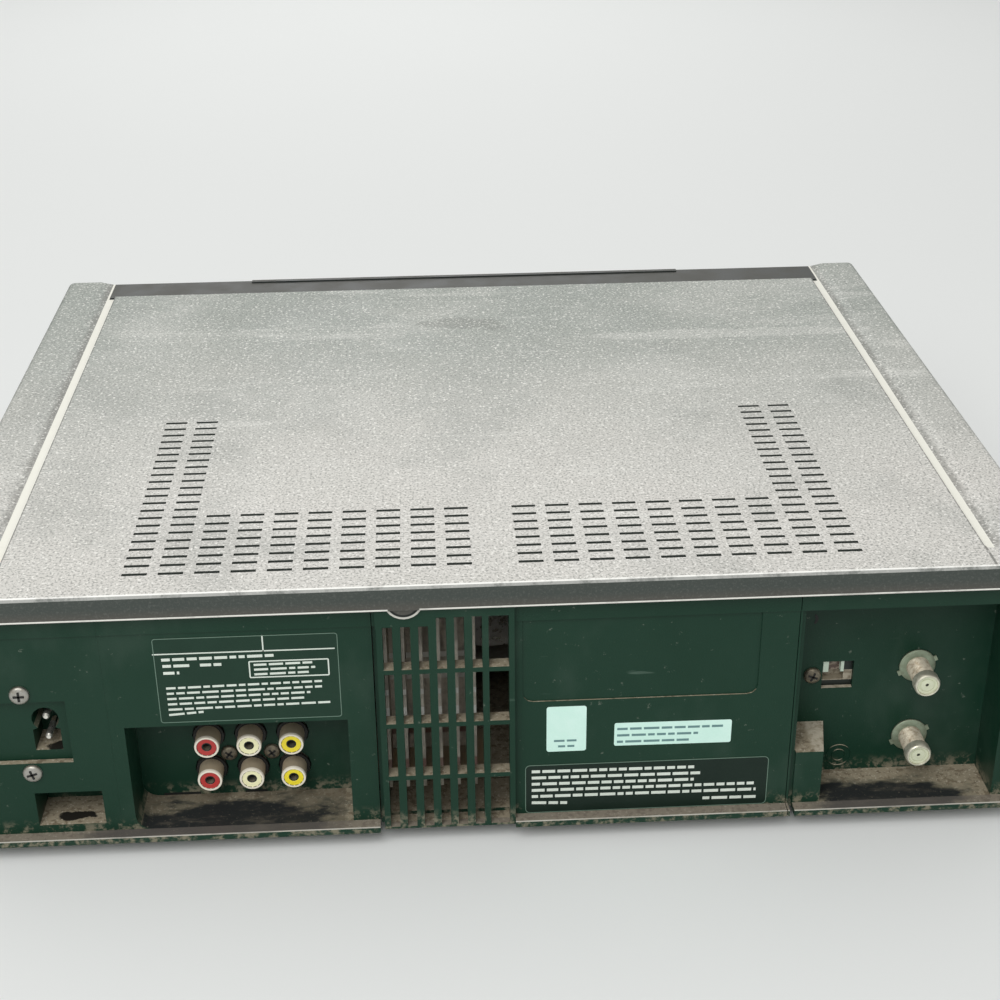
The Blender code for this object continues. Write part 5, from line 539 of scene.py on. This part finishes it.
MATERIALS = {
    "cover_paint": cover_paint(),
    "black_plastic": panel_plastic(),
    "fascia_plastic": set_gloss(moulded("fascia_plastic", srgb(36, 42, 42), 0.4, 0.12), 0.22),
    "button_plastic": moulded("button_plastic", srgb(52, 52, 54), 0.38, 0.25),
    "white_plastic": moulded("white_plastic", srgb(206, 202, 190), 0.45, 0.4),
    "smoked_window": window_plastic(),
    "plated_steel": metal("plated_steel", srgb(190, 188, 180), 0.36, 0.45),
    "polished_metal": metal("polished_metal", srgb(206, 206, 204), 0.2, 0.15),
    "brass": metal("brass", srgb(196, 160, 96), 0.3, 0.3),
    "copper": metal("copper", srgb(150, 84, 50), 0.4, 0.4),
    "rubber": foot_rubber(),
    "circuit_board": board_lacquer(),
}


def dress_nodes():
    """Gives each CAD node the material of its slot in the record, or one of its own."""
    knob = frame["nodes"]["channel_switch_knob"]
    own = {
        "heat_sink": sink_metal(frame["nodes"]["heat_sink"].matrix_world.translation.z),
        "power_board": power_parts(),
        "channel_switch_body": switch_parts(),
        "channel_switch_knob": knob_plastic(GRIP_X - knob.matrix_world.translation.x),
        "jack_block": moulded("jack_block_plastic", srgb(17, 26, 22), 0.5, 0.7),
    }
    for part in frame["record"]["subparts"]:
        obj = frame["nodes"][part["node"]]
        obj.data.materials.clear()
        obj.data.materials.append(own.get(part["node"]) or MATERIALS[part["material_slot"]])


# Small pieces


def piece(name, bm, material, body=CHASSIS):
    """Turns a bmesh into a named piece of the scene that rides on body."""
    bmesh.ops.recalc_face_normals(bm, faces=bm.faces)
    mesh = bpy.data.meshes.new(name)
    bm.to_mesh(mesh)
    bm.free()
    mesh.materials.append(material)
    obj = bpy.data.objects.new(name, mesh)
    bpy.context.scene.collection.objects.link(obj)
    obj.data.shade_smooth()
    obj.data.set_sharp_from_angle(angle=math.radians(SHARP_ANGLE))
    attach(obj, body)
    return obj


def lathe(bm, profile, matrix, steps=48, closed=False):
    """Turns (radius, height) points about the local Z of matrix."""
    rings = []
    for radius, height in profile:
        if radius == 0:
            rings.append([bm.verts.new(matrix @ Vector((0, 0, height)))] * steps)
            continue
        ring = []
        for k in range(steps):
            angle = 2 * math.pi * k / steps
            point = Vector((radius * math.cos(angle), radius * math.sin(angle), height))
            ring.append(bm.verts.new(matrix @ point))
        rings.append(ring)
    pairs = list(zip(rings, rings[1:]))
    if closed:
        pairs.append((rings[-1], rings[0]))
    for lower, upper in pairs:
        for k in range(steps):
            n = (k + 1) % steps
            corners = list(dict.fromkeys((lower[k], lower[n], upper[n], upper[k])))
            if len(corners) > 2:
                bm.faces.new(corners)


def turned(name, profile, matrix, material, steps=48, closed=False):
    """A piece made by turning one profile."""
    bm = bmesh.new()
    lathe(bm, profile, matrix, steps, closed)
    return piece(name, bm, material)


def facing_rear(x, y, z):
    """A matrix whose Z points to +Y at a place on a rear wall."""
    return Matrix.Translation((x, y, z)) @ Matrix.Rotation(-math.pi / 2, 4, "X")


def box(bm, low, high, matrix=None):
    made = bmesh.ops.create_cube(bm, size=1)["verts"]
    size = [b - a for a, b in zip(low, high)]
    middle = [(a + b) / 2 for a, b in zip(low, high)]
    bmesh.ops.scale(bm, vec=size, verts=made)
    bmesh.ops.translate(bm, vec=middle, verts=made)
    if matrix is not None:
        bmesh.ops.transform(bm, matrix=matrix, verts=made)


def rounded(x0, x1, z0, z1, radius, inset=0.0, steps=4):
    """The points of a rectangle with rounded corners, drawn in by inset."""
    reach = radius - inset
    points = []
    corners = ((x1, z1, 1, 1, 0), (x0, z1, -1, 1, 90), (x0, z0, -1, -1, 180), (x1, z0, 1, -1, 270))
    for x, z, way_x, way_z, start in corners:
        for step in range(steps + 1):
            angle = math.radians(start + 90 * step / steps)
            u = x - way_x * radius + reach * math.cos(angle)
            v = z - way_z * radius + reach * math.sin(angle)
            points.append((u, v))
    return points


def join_loops(bm, first, second):
    """The faces between two closed loops with as many points each."""
    for k in range(len(first)):
        n = (k + 1) % len(first)
        bm.faces.new((first[k], first[n], second[n], second[k]))


def slab(bm, points, y, thickness, turn=None):
    """A thin solid on a rear wall, its outline given as (x, z) points."""
    turn = turn or Matrix.Identity(4)
    near = [bm.verts.new(turn @ Vector((u, y, v))) for u, v in points]
    far = [bm.verts.new(turn @ Vector((u, y + thickness, v))) for u, v in points]
    bm.faces.new(near)
    bm.faces.new(far)
    join_loops(bm, near, far)


def plate(name, area, y, material, thickness=LIFT, radius=0.001, tilt=0.0):
    """A thin rounded plate or sticker that lies on a rear wall."""
    x0, x1, z0, z1 = area
    half_x = (x1 - x0) / 2
    half_z = (z1 - z0) / 2
    turn = Matrix.Translation(((x0 + x1) / 2, y, (z0 + z1) / 2)) @ Matrix.Rotation(tilt, 4, "Y")
    bm = bmesh.new()
    slab(bm, rounded(-half_x, half_x, -half_z, half_z, radius), 0, thickness, turn)
    return piece(name, bm, material)


def rules(name, lines, y, width, material):
    """Thin printed lines on a rear wall, each from (x, z) to (x, z)."""
    bm = bmesh.new()
    for (xa, za), (xb, zb) in lines:
        low = (min(xa, xb) - width / 2, y, min(za, zb) - width / 2)
        high = (max(xa, xb) + width / 2, y + PRINT, max(za, zb) + width / 2)
        box(bm, low, high)
    return piece(name, bm, material)


def printed_frame(name, area, y, width, radius, material):
    """A thin printed frame with rounded corners on a rear wall."""
    bm = bmesh.new()
    rings = []
    for inset in (0, width):
        loop = rounded(*area, radius, inset, 6)
        rings += [[bm.verts.new((u, level, v)) for u, v in loop] for level in (y, y + PRINT)]
    outer_low, outer_high, inner_low, inner_high = rings
    around = (outer_low, outer_high, inner_high, inner_low)
    for near, far in zip(around, around[1:] + around[:1]):
        join_loops(bm, near, far)
    return piece(name, bm, material)


def word_bars(name, rows, y, height, material, seed):
    """Rows of short bars where printed words would stand, each row from (x, z) to (x, z)."""
    draw = random.Random(seed)
    bm = bmesh.new()
    for (xa, za), (xb, zb) in rows:
        x = xa
        slope = math.atan2(zb - za, xa - xb)
        while x > xb + SHORTEST_BAR:
            end = max(xb, x - draw.uniform(*BAR_LENGTHS))
            z = za + (zb - za) * (xa - x) / (xa - xb)
            turn = Matrix.Translation((x, 0, z)) @ Matrix.Rotation(slope, 4, "Y")
            box(bm, (end - x, y, -height / 2), (0, y + PRINT, height / 2), turn)
            x = end - BAR_SPACE
    return piece(name, bm, material)


def screws():
    """Cross-recessed pan heads on the rear walls."""
    clean = metal("screw_metal", srgb(168, 166, 160), 0.3, 0.45)
    grimy = metal("dirty_screw_metal", srgb(112, 106, 94), 0.4, 0.85)
    dark = moulded("screw_recess_shade", DARK, 0.6, 0.0)
    dome = ((1, 0.40), (0.95, 0.62), (0.80, 0.82), (0.5, 0.96), (0, 1))
    for index, (x, y, z, radius, dirty) in enumerate(SCREWS):
        matrix = facing_rear(x, y, z) @ Matrix.Rotation(math.radians(17 * index), 4, "Z")
        profile = [(0, 0), (radius, 0)] + [(radius * out, SCREW_HEIGHT * up) for out, up in dome]
        turned("rear_screw_%d" % (index + 1), profile, matrix, grimy if dirty else clean, 32)
        # painted shade: the cross recess is drawn as a dark solid cross on the head, not as a hole
        bm = bmesh.new()
        arm = radius * 0.55
        half = radius * 0.12
        for turn in (0, math.pi / 2):
            spin = matrix @ Matrix.Rotation(turn, 4, "Z")
            box(bm, (-arm, -half, SCREW_HEIGHT * 0.5), (arm, half, SCREW_HEIGHT + LIFT), spin)
        piece("screw_recess_%d" % (index + 1), bm, dark)


def jacks():
    """Dusty barrels, pale rims and coloured rings on the phono sockets."""
    barrel = moulded("jack_barrel", srgb(168, 152, 128), 0.55, 0.5)
    rim = moulded("jack_rim", srgb(232, 224, 206), 0.42, 0.1)
    shade = moulded("jack_shade", srgb(20, 20, 17), 0.6, 0.0)
    contact = metal("jack_contact", srgb(150, 112, 66), 0.35, 0.5)
    inserts = {
        "yellow": moulded("jack_yellow", srgb(236, 216, 48), 0.4, 0.1),
        "white": moulded("jack_white", srgb(240, 236, 190), 0.4, 0.1),
        "red": moulded("jack_red", srgb(176, 52, 48), 0.4, 0.1),
    }
    tip = JACK_REACH
    root = 0.0009
    shoulder = tip - 0.0011
    outer = JACK_RADIUS + LIFT
    inner = JACK_RADIUS - JACK_LIP
    front = tip - 0.0004 + LIFT
    mouth = JACK_MOUTH_RADIUS
    sleeve = mouth - 0.0003
    back = tip - 0.0036
    collar = JACK_COLLAR_RADIUS
    barrel_profile = [(outer, root), (outer, shoulder), (outer - LIFT, shoulder), (outer - LIFT, root)]
    rim_profile = [
        (outer, shoulder), (outer, tip - 0.0002), (outer - 0.0002, tip + LIFT),
        (inner + 0.0001, tip + LIFT), (inner, tip - 0.0001), (inner, front - LIFT),
    ]
    insert_back = front - 0.0002
    insert_profile = [(inner, insert_back), (inner, front), (mouth + 0.0002, front), (mouth, insert_back)]
    contact_profile = [(mouth, front - 0.0002), (sleeve, front - 0.0003), (sleeve, back), (mouth, back)]
    collar_profile = [(collar, LIFT), (collar, root + LIFT), (outer, root + LIFT), (outer, LIFT)]
    for column, colour in enumerate(JACK_COLOURS):
        for row in range(2):
            x = FIRST_JACK[0] + column * JACK_PITCH[0]
            z = FIRST_JACK[1] + row * JACK_PITCH[1]
            matrix = facing_rear(x, JACK_WALL_Y, z)
            parts = (
                ("barrel", barrel, "white_plastic", barrel_profile),
                ("rim", rim, "white_plastic", rim_profile),
                ("insert", inserts[colour], "white_plastic", insert_profile),
                ("contact", contact, "brass", contact_profile),
                ("collar", shade, "black_plastic", collar_profile),
            )
            for label, finish, slot, profile in parts:
                turned("jack_%s_%s_%d" % (label, colour, row + 1), profile, matrix, finish, 40, True)
            hole = [(0, back), (mouth, back), (mouth, back + LIFT), (0, back + LIFT)]
            turned("jack_hole_%s_%d" % (colour, row + 1), hole, matrix, shade, 24)


def inlet_pins():
    """Bright pins in the mains inlet, a little wider than the solids that they cover."""
    shiny = metal("inlet_pin_metal", srgb(226, 224, 216), 0.22, 0.2)
    radius = PIN_RADIUS
    length = PIN_TIP_Y - PIN_BASE_Y
    profile = [(0, 0), (radius, 0), (radius, length - 0.0007), (radius * 0.62, length), (0, length)]
    for side, z in PIN_HEIGHTS:
        turned("inlet_pin_" + side, profile, facing_rear(PIN_X, PIN_BASE_Y, z), shiny, 24)


def thread(wall, neck):
    """A barrel's profile: plain to just past the wall, then threaded up to the neck."""
    root = BARREL_RADIUS - THREAD_DEPTH
    start = wall + 0.0016
    profile = [(0, 0), (BARREL_RADIUS, 0), (BARREL_RADIUS, wall + 0.0014)]
    for k in range(int((neck - start) / THREAD_PITCH)):
        height = start + k * THREAD_PITCH
        profile += [
            (root, height), (BARREL_RADIUS, height + THREAD_PITCH * 0.4),
            (BARREL_RADIUS, height + THREAD_PITCH * 0.5), (root, height + THREAD_PITCH * 0.9),
        ]
    return profile + [(root, neck), (0, neck)]


def aerial_sockets():
    """Threaded barrels with a tabbed collar, a smooth tip and a pale insulator, in place of plain solids."""
    steel = metal("socket_metal", srgb(206, 198, 178), 0.4, 0.8, srgb(140, 122, 96), 0.55)
    smooth = metal("socket_tip_metal", srgb(216, 214, 196), 0.3, 0.35, srgb(168, 160, 138), 0.7)
    # painted reflection: the collar's green tint stands for green surroundings mirrored in its metal
    green = metal("socket_collar_reflected_green", srgb(146, 158, 136), 0.36, 0.4, srgb(120, 118, 96), 0.6)
    pale = moulded("insulator", srgb(198, 202, 176), 0.5, 0.3)
    dark = moulded("socket_hole_shade", srgb(40, 40, 32), 0.6, 0.0)
    bore = BORE_RADIUS
    for label in ("upper", "lower"):
        low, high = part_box("aerial_socket_" + label)
        start = low[1]
        length = high[1] - start
        wall = RF_WALL_Y - start
        neck = length - TIP_LENGTH
        matrix = facing_rear((low[0] + high[0]) / 2, start, (low[2] + high[2]) / 2)
        barrel = turned("aerial_barrel_" + label, thread(wall, neck), matrix, steel)
        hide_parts("aerial_socket_" + label)
        tip = [
            (bore, neck - 0.0001), (TIP_RADIUS - 0.0005, neck - 0.0001), (TIP_RADIUS, neck + 0.0005),
            (TIP_RADIUS, length - 0.0010), (TIP_RADIUS - 0.0003, length - 0.0003),
            (TIP_RADIUS - 0.0006, length), (bore + 0.0002, length), (bore, length - 0.0003),
        ]
        turned("aerial_tip_" + label, tip, matrix, smooth, 48, True)
        bm = bmesh.new()
        rim = (high[0] - low[0]) / 2 + 0.0004
        collar = [
            (BARREL_RADIUS, wall + LIFT), (rim, wall + LIFT), (rim, wall + 0.0006),
            (rim - 0.0004, wall + 0.0009), (BARREL_RADIUS, wall + 0.0012),
        ]
        lathe(bm, collar, matrix, 48, True)
        for turn in (25, 205):
            spin = matrix @ Matrix.Rotation(math.radians(turn), 4, "Z")
            box(bm, (rim - 0.0008, -0.0011, wall + LIFT), (rim + 0.0011, 0.0011, wall + 0.0007), spin)
        piece("aerial_collar_" + label, bm, green)
        face = length - FACE_DEPTH
        rings = [
            (0.0007, face - 0.0006), (0.0007, face), (0.0010, face + 0.0001), (0.0013, face),
            (0.0026, face), (0.0027, face - 0.0003), (0.0030, face - 0.0003), (0.0031, face),
            (bore, face), (bore, face - 0.0006),
        ]
        turned("aerial_insulator_" + label, rings, matrix, pale, 40, True)
        # painted shade: a dark disc at the bottom of the insulator's centre hole
        hole = [(0, face - 0.0006), (0.0008, face - 0.0006), (0.0008, face - 0.0004), (0, face - 0.0004)]
        turned("aerial_hole_shade_" + label, hole, matrix, dark, 16)


def wall_marks():
    """The small moulded marks and slots on the walls behind the sockets."""
    mould = MATERIALS["black_plastic"]
    dark = moulded("slot_shade", srgb(8, 14, 11), 0.6, 0.0)
    bm = bmesh.new()
    for radius in (0.0050, 0.0027):
        ridge = [
            (radius - 0.0003, 0), (radius - 0.0001, 0.00028),
            (radius + 0.0001, 0.00028), (radius + 0.0003, 0),
        ]
        lathe(bm, ridge, facing_rear(-0.1408, RF_WALL_Y, 0.0177), 40, True)
    piece("moulded_ring", bm, mould)
    near = []
    far = []
    for share in range(9):
        angle = math.radians(-60 + 15 * share)
        height = 0.0834 + 0.0026 * math.sin(angle)
        near.append((-0.1252 - 0.0024 * math.cos(angle), height))
        far.append((-0.1252 - 0.0011 * math.cos(angle), height))
    bm = bmesh.new()
    slab(bm, near + far[-2:0:-1], RF_WALL_Y, LIFT)
    piece("crescent_slot", bm, dark)
    for index, (x0, x1) in enumerate(((0.1204, 0.1353), (0.0935, 0.1024))):
        area = (x0, x1, 0.0104, 0.0116)
        plate("drain_slot_%d" % (index + 1), area, JACK_WALL_Y, dark, LIFT, 0.0003)


def plates():
    """The printed plates and stickers, with bars and frames in place of words."""
    ink = moulded("white_ink", srgb(204, 212, 202), 0.6, 0.1)
    faint = moulded("faint_ink", srgb(92, 116, 102), 0.6, 0.1)
    pale = moulded("sticker", srgb(200, 234, 222), 0.5, 0.15)
    grey = moulded("sticker_ink", srgb(96, 130, 130), 0.6, 0.1)
    green = set_gloss(moulded("rating_plate", srgb(20, 48, 35), 0.42, 0.2), 0.25)
    black = set_gloss(moulded("notice_plate", srgb(15, 33, 25), 0.42, 0.2), 0.25)
    print_y = PANEL_Y + LIFT
    sticker_y = PANEL_Y + STICKER_THICKNESS

    # Rating plate
    plate("rating_plate", RATING_PLATE, PANEL_Y, green)
    printed_frame("rating_border", RATING_PLATE, print_y, 0.0003, 0.0012, faint)
    rules("rating_rules", RATING_RULES, print_y, 0.0005, ink)
    printed_frame("rating_box", RATING_BOX, print_y, 0.0005, 0.0006, ink)
    small = []
    for row, end in enumerate(RATING_SMALL_ENDS):
        small.append(((0.1256, 0.0759 - 0.0024 * row), (end, 0.0768 - 0.0024 * row)))
    word_bars("rating_large_bars", RATING_LARGE, print_y, 0.0012, ink, 3)
    word_bars("rating_box_bars", RATING_BOXED, print_y, 0.0009, ink, 5)
    word_bars("rating_small_bars", small, print_y, 0.0009, ink, 7)

    # Stickers
    plate("small_sticker", SMALL_STICKER, PANEL_Y, pale, STICKER_THICKNESS)
    word_bars("small_sticker_bars", SMALL_STICKER_ROWS, sticker_y, 0.0009, grey, 9)
    plate(
        "long_sticker", LONG_STICKER, PANEL_Y, pale,
        STICKER_THICKNESS, 0.0008, LONG_STICKER_TILT,
    )
    word_bars("long_sticker_bars", LONG_STICKER_ROWS, sticker_y, 0.0010, grey, 11)

    # Notice plate
    plate("notice_plate", NOTICE_PLATE, PANEL_Y, black, LIFT, 0.002)
    printed_frame("notice_border", NOTICE_PLATE, print_y, 0.0003, 0.002, faint)
    notice = []
    for row, end in enumerate(NOTICE_ENDS):
        notice.append(((-0.0129, 0.0307 - 0.0030 * row), (end, 0.0301 - 0.0030 * row)))
    notice.append(((-0.0813, 0.0147), (-0.1027, 0.0144)))
    word_bars("notice_bars", notice, print_y, 0.0013, ink, 13)


def seam_filler():
    """Fills the joint of two rear sections, which are one moulding on the real product."""
    bm = bmesh.new()
    half = SEAM_WIDTH / 2 + LIFT
    steps = (
        (LEDGE_FOOT_Z, LEDGE_TOP_Z - FLUSH, PANEL_Y - SEAM_DEPTH, REAR_Y),
        (LEDGE_TOP_Z - FLUSH, BAND_FOOT_Z, PANEL_Y - SEAM_DEPTH, PANEL_Y),
        (BAND_FOOT_Z, BAND_TOP_Z, BAND_Y - SEAM_DEPTH, BAND_Y),
    )
    for low_z, high_z, back, face in steps:
        box(bm, (INLET_SEAM_X - half, back, low_z), (INLET_SEAM_X + half, face - FLUSH, high_z))
    piece("seam_filler", bm, MATERIALS["black_plastic"])


# Stage, light and camera


def stage():
    shader = Shader("floor", FLOOR_COLOUR, 0.9)
    shader.lay(FLOOR_SHADE, shader.mottle(3, 0.3, 0.7, 0, 0.06, 2, 0.5))
    bm = bmesh.new()
    bmesh.ops.create_grid(bm, x_segments=1, y_segments=1, size=FLOOR_HALF)
    mesh = bpy.data.meshes.new("floor")
    bm.to_mesh(mesh)
    bm.free()
    mesh.materials.append(shader.material)
    floor = bpy.data.objects.new("floor", mesh)
    bpy.context.scene.collection.objects.link(floor)


def lamp(name, place, target, size, power):
    light = bpy.data.lights.new(name, "AREA")
    light.shape = "DISK"
    light.size = size
    light.energy = power
    obj = bpy.data.objects.new(name, light)
    obj.location = place
    obj.rotation_euler = (Vector(target) - Vector(place)).to_track_quat("-Z", "Y").to_euler()
    bpy.context.scene.collection.objects.link(obj)


def lights():
    world = bpy.data.worlds.new("studio")
    bpy.context.scene.world = world
    world.use_nodes = True
    background = world.node_tree.nodes["Background"]
    background.inputs["Color"].default_value = (*WORLD_COLOUR, 1)
    background.inputs["Strength"].default_value = WORLD_STRENGTH
    lamp("key", (0.45, 1.25, 1.35), (0, 0, 0), 1.3, 20)
    lamp("far", (0.1, -1.7, 1.25), (0, 0, 0.1), 1.6, 10)


def camera():
    data = bpy.data.cameras.new("photo_camera")
    data.lens = CAMERA_LENS
    data.sensor_width = SENSOR_WIDTH
    data.clip_end = CAMERA_REACH
    obj = bpy.data.objects.new("photo_camera", data)
    right, down, ahead = Vector(CAMERA_RIGHT), Vector(CAMERA_DOWN), Vector(CAMERA_AHEAD)
    turn = Matrix((right, -down, -ahead)).transposed().to_4x4()
    obj.matrix_world = Matrix.Translation(CAMERA_PLACE) @ turn
    bpy.context.scene.collection.objects.link(obj)
    bpy.context.scene.camera = obj


def main():
    bpy.context.scene.view_settings.view_transform = "Standard"
    camera()
    lights()
    stage()
    dress_nodes()
    screws()
    jacks()
    inlet_pins()
    aerial_sockets()
    wall_marks()
    plates()
    seam_filler()


main()
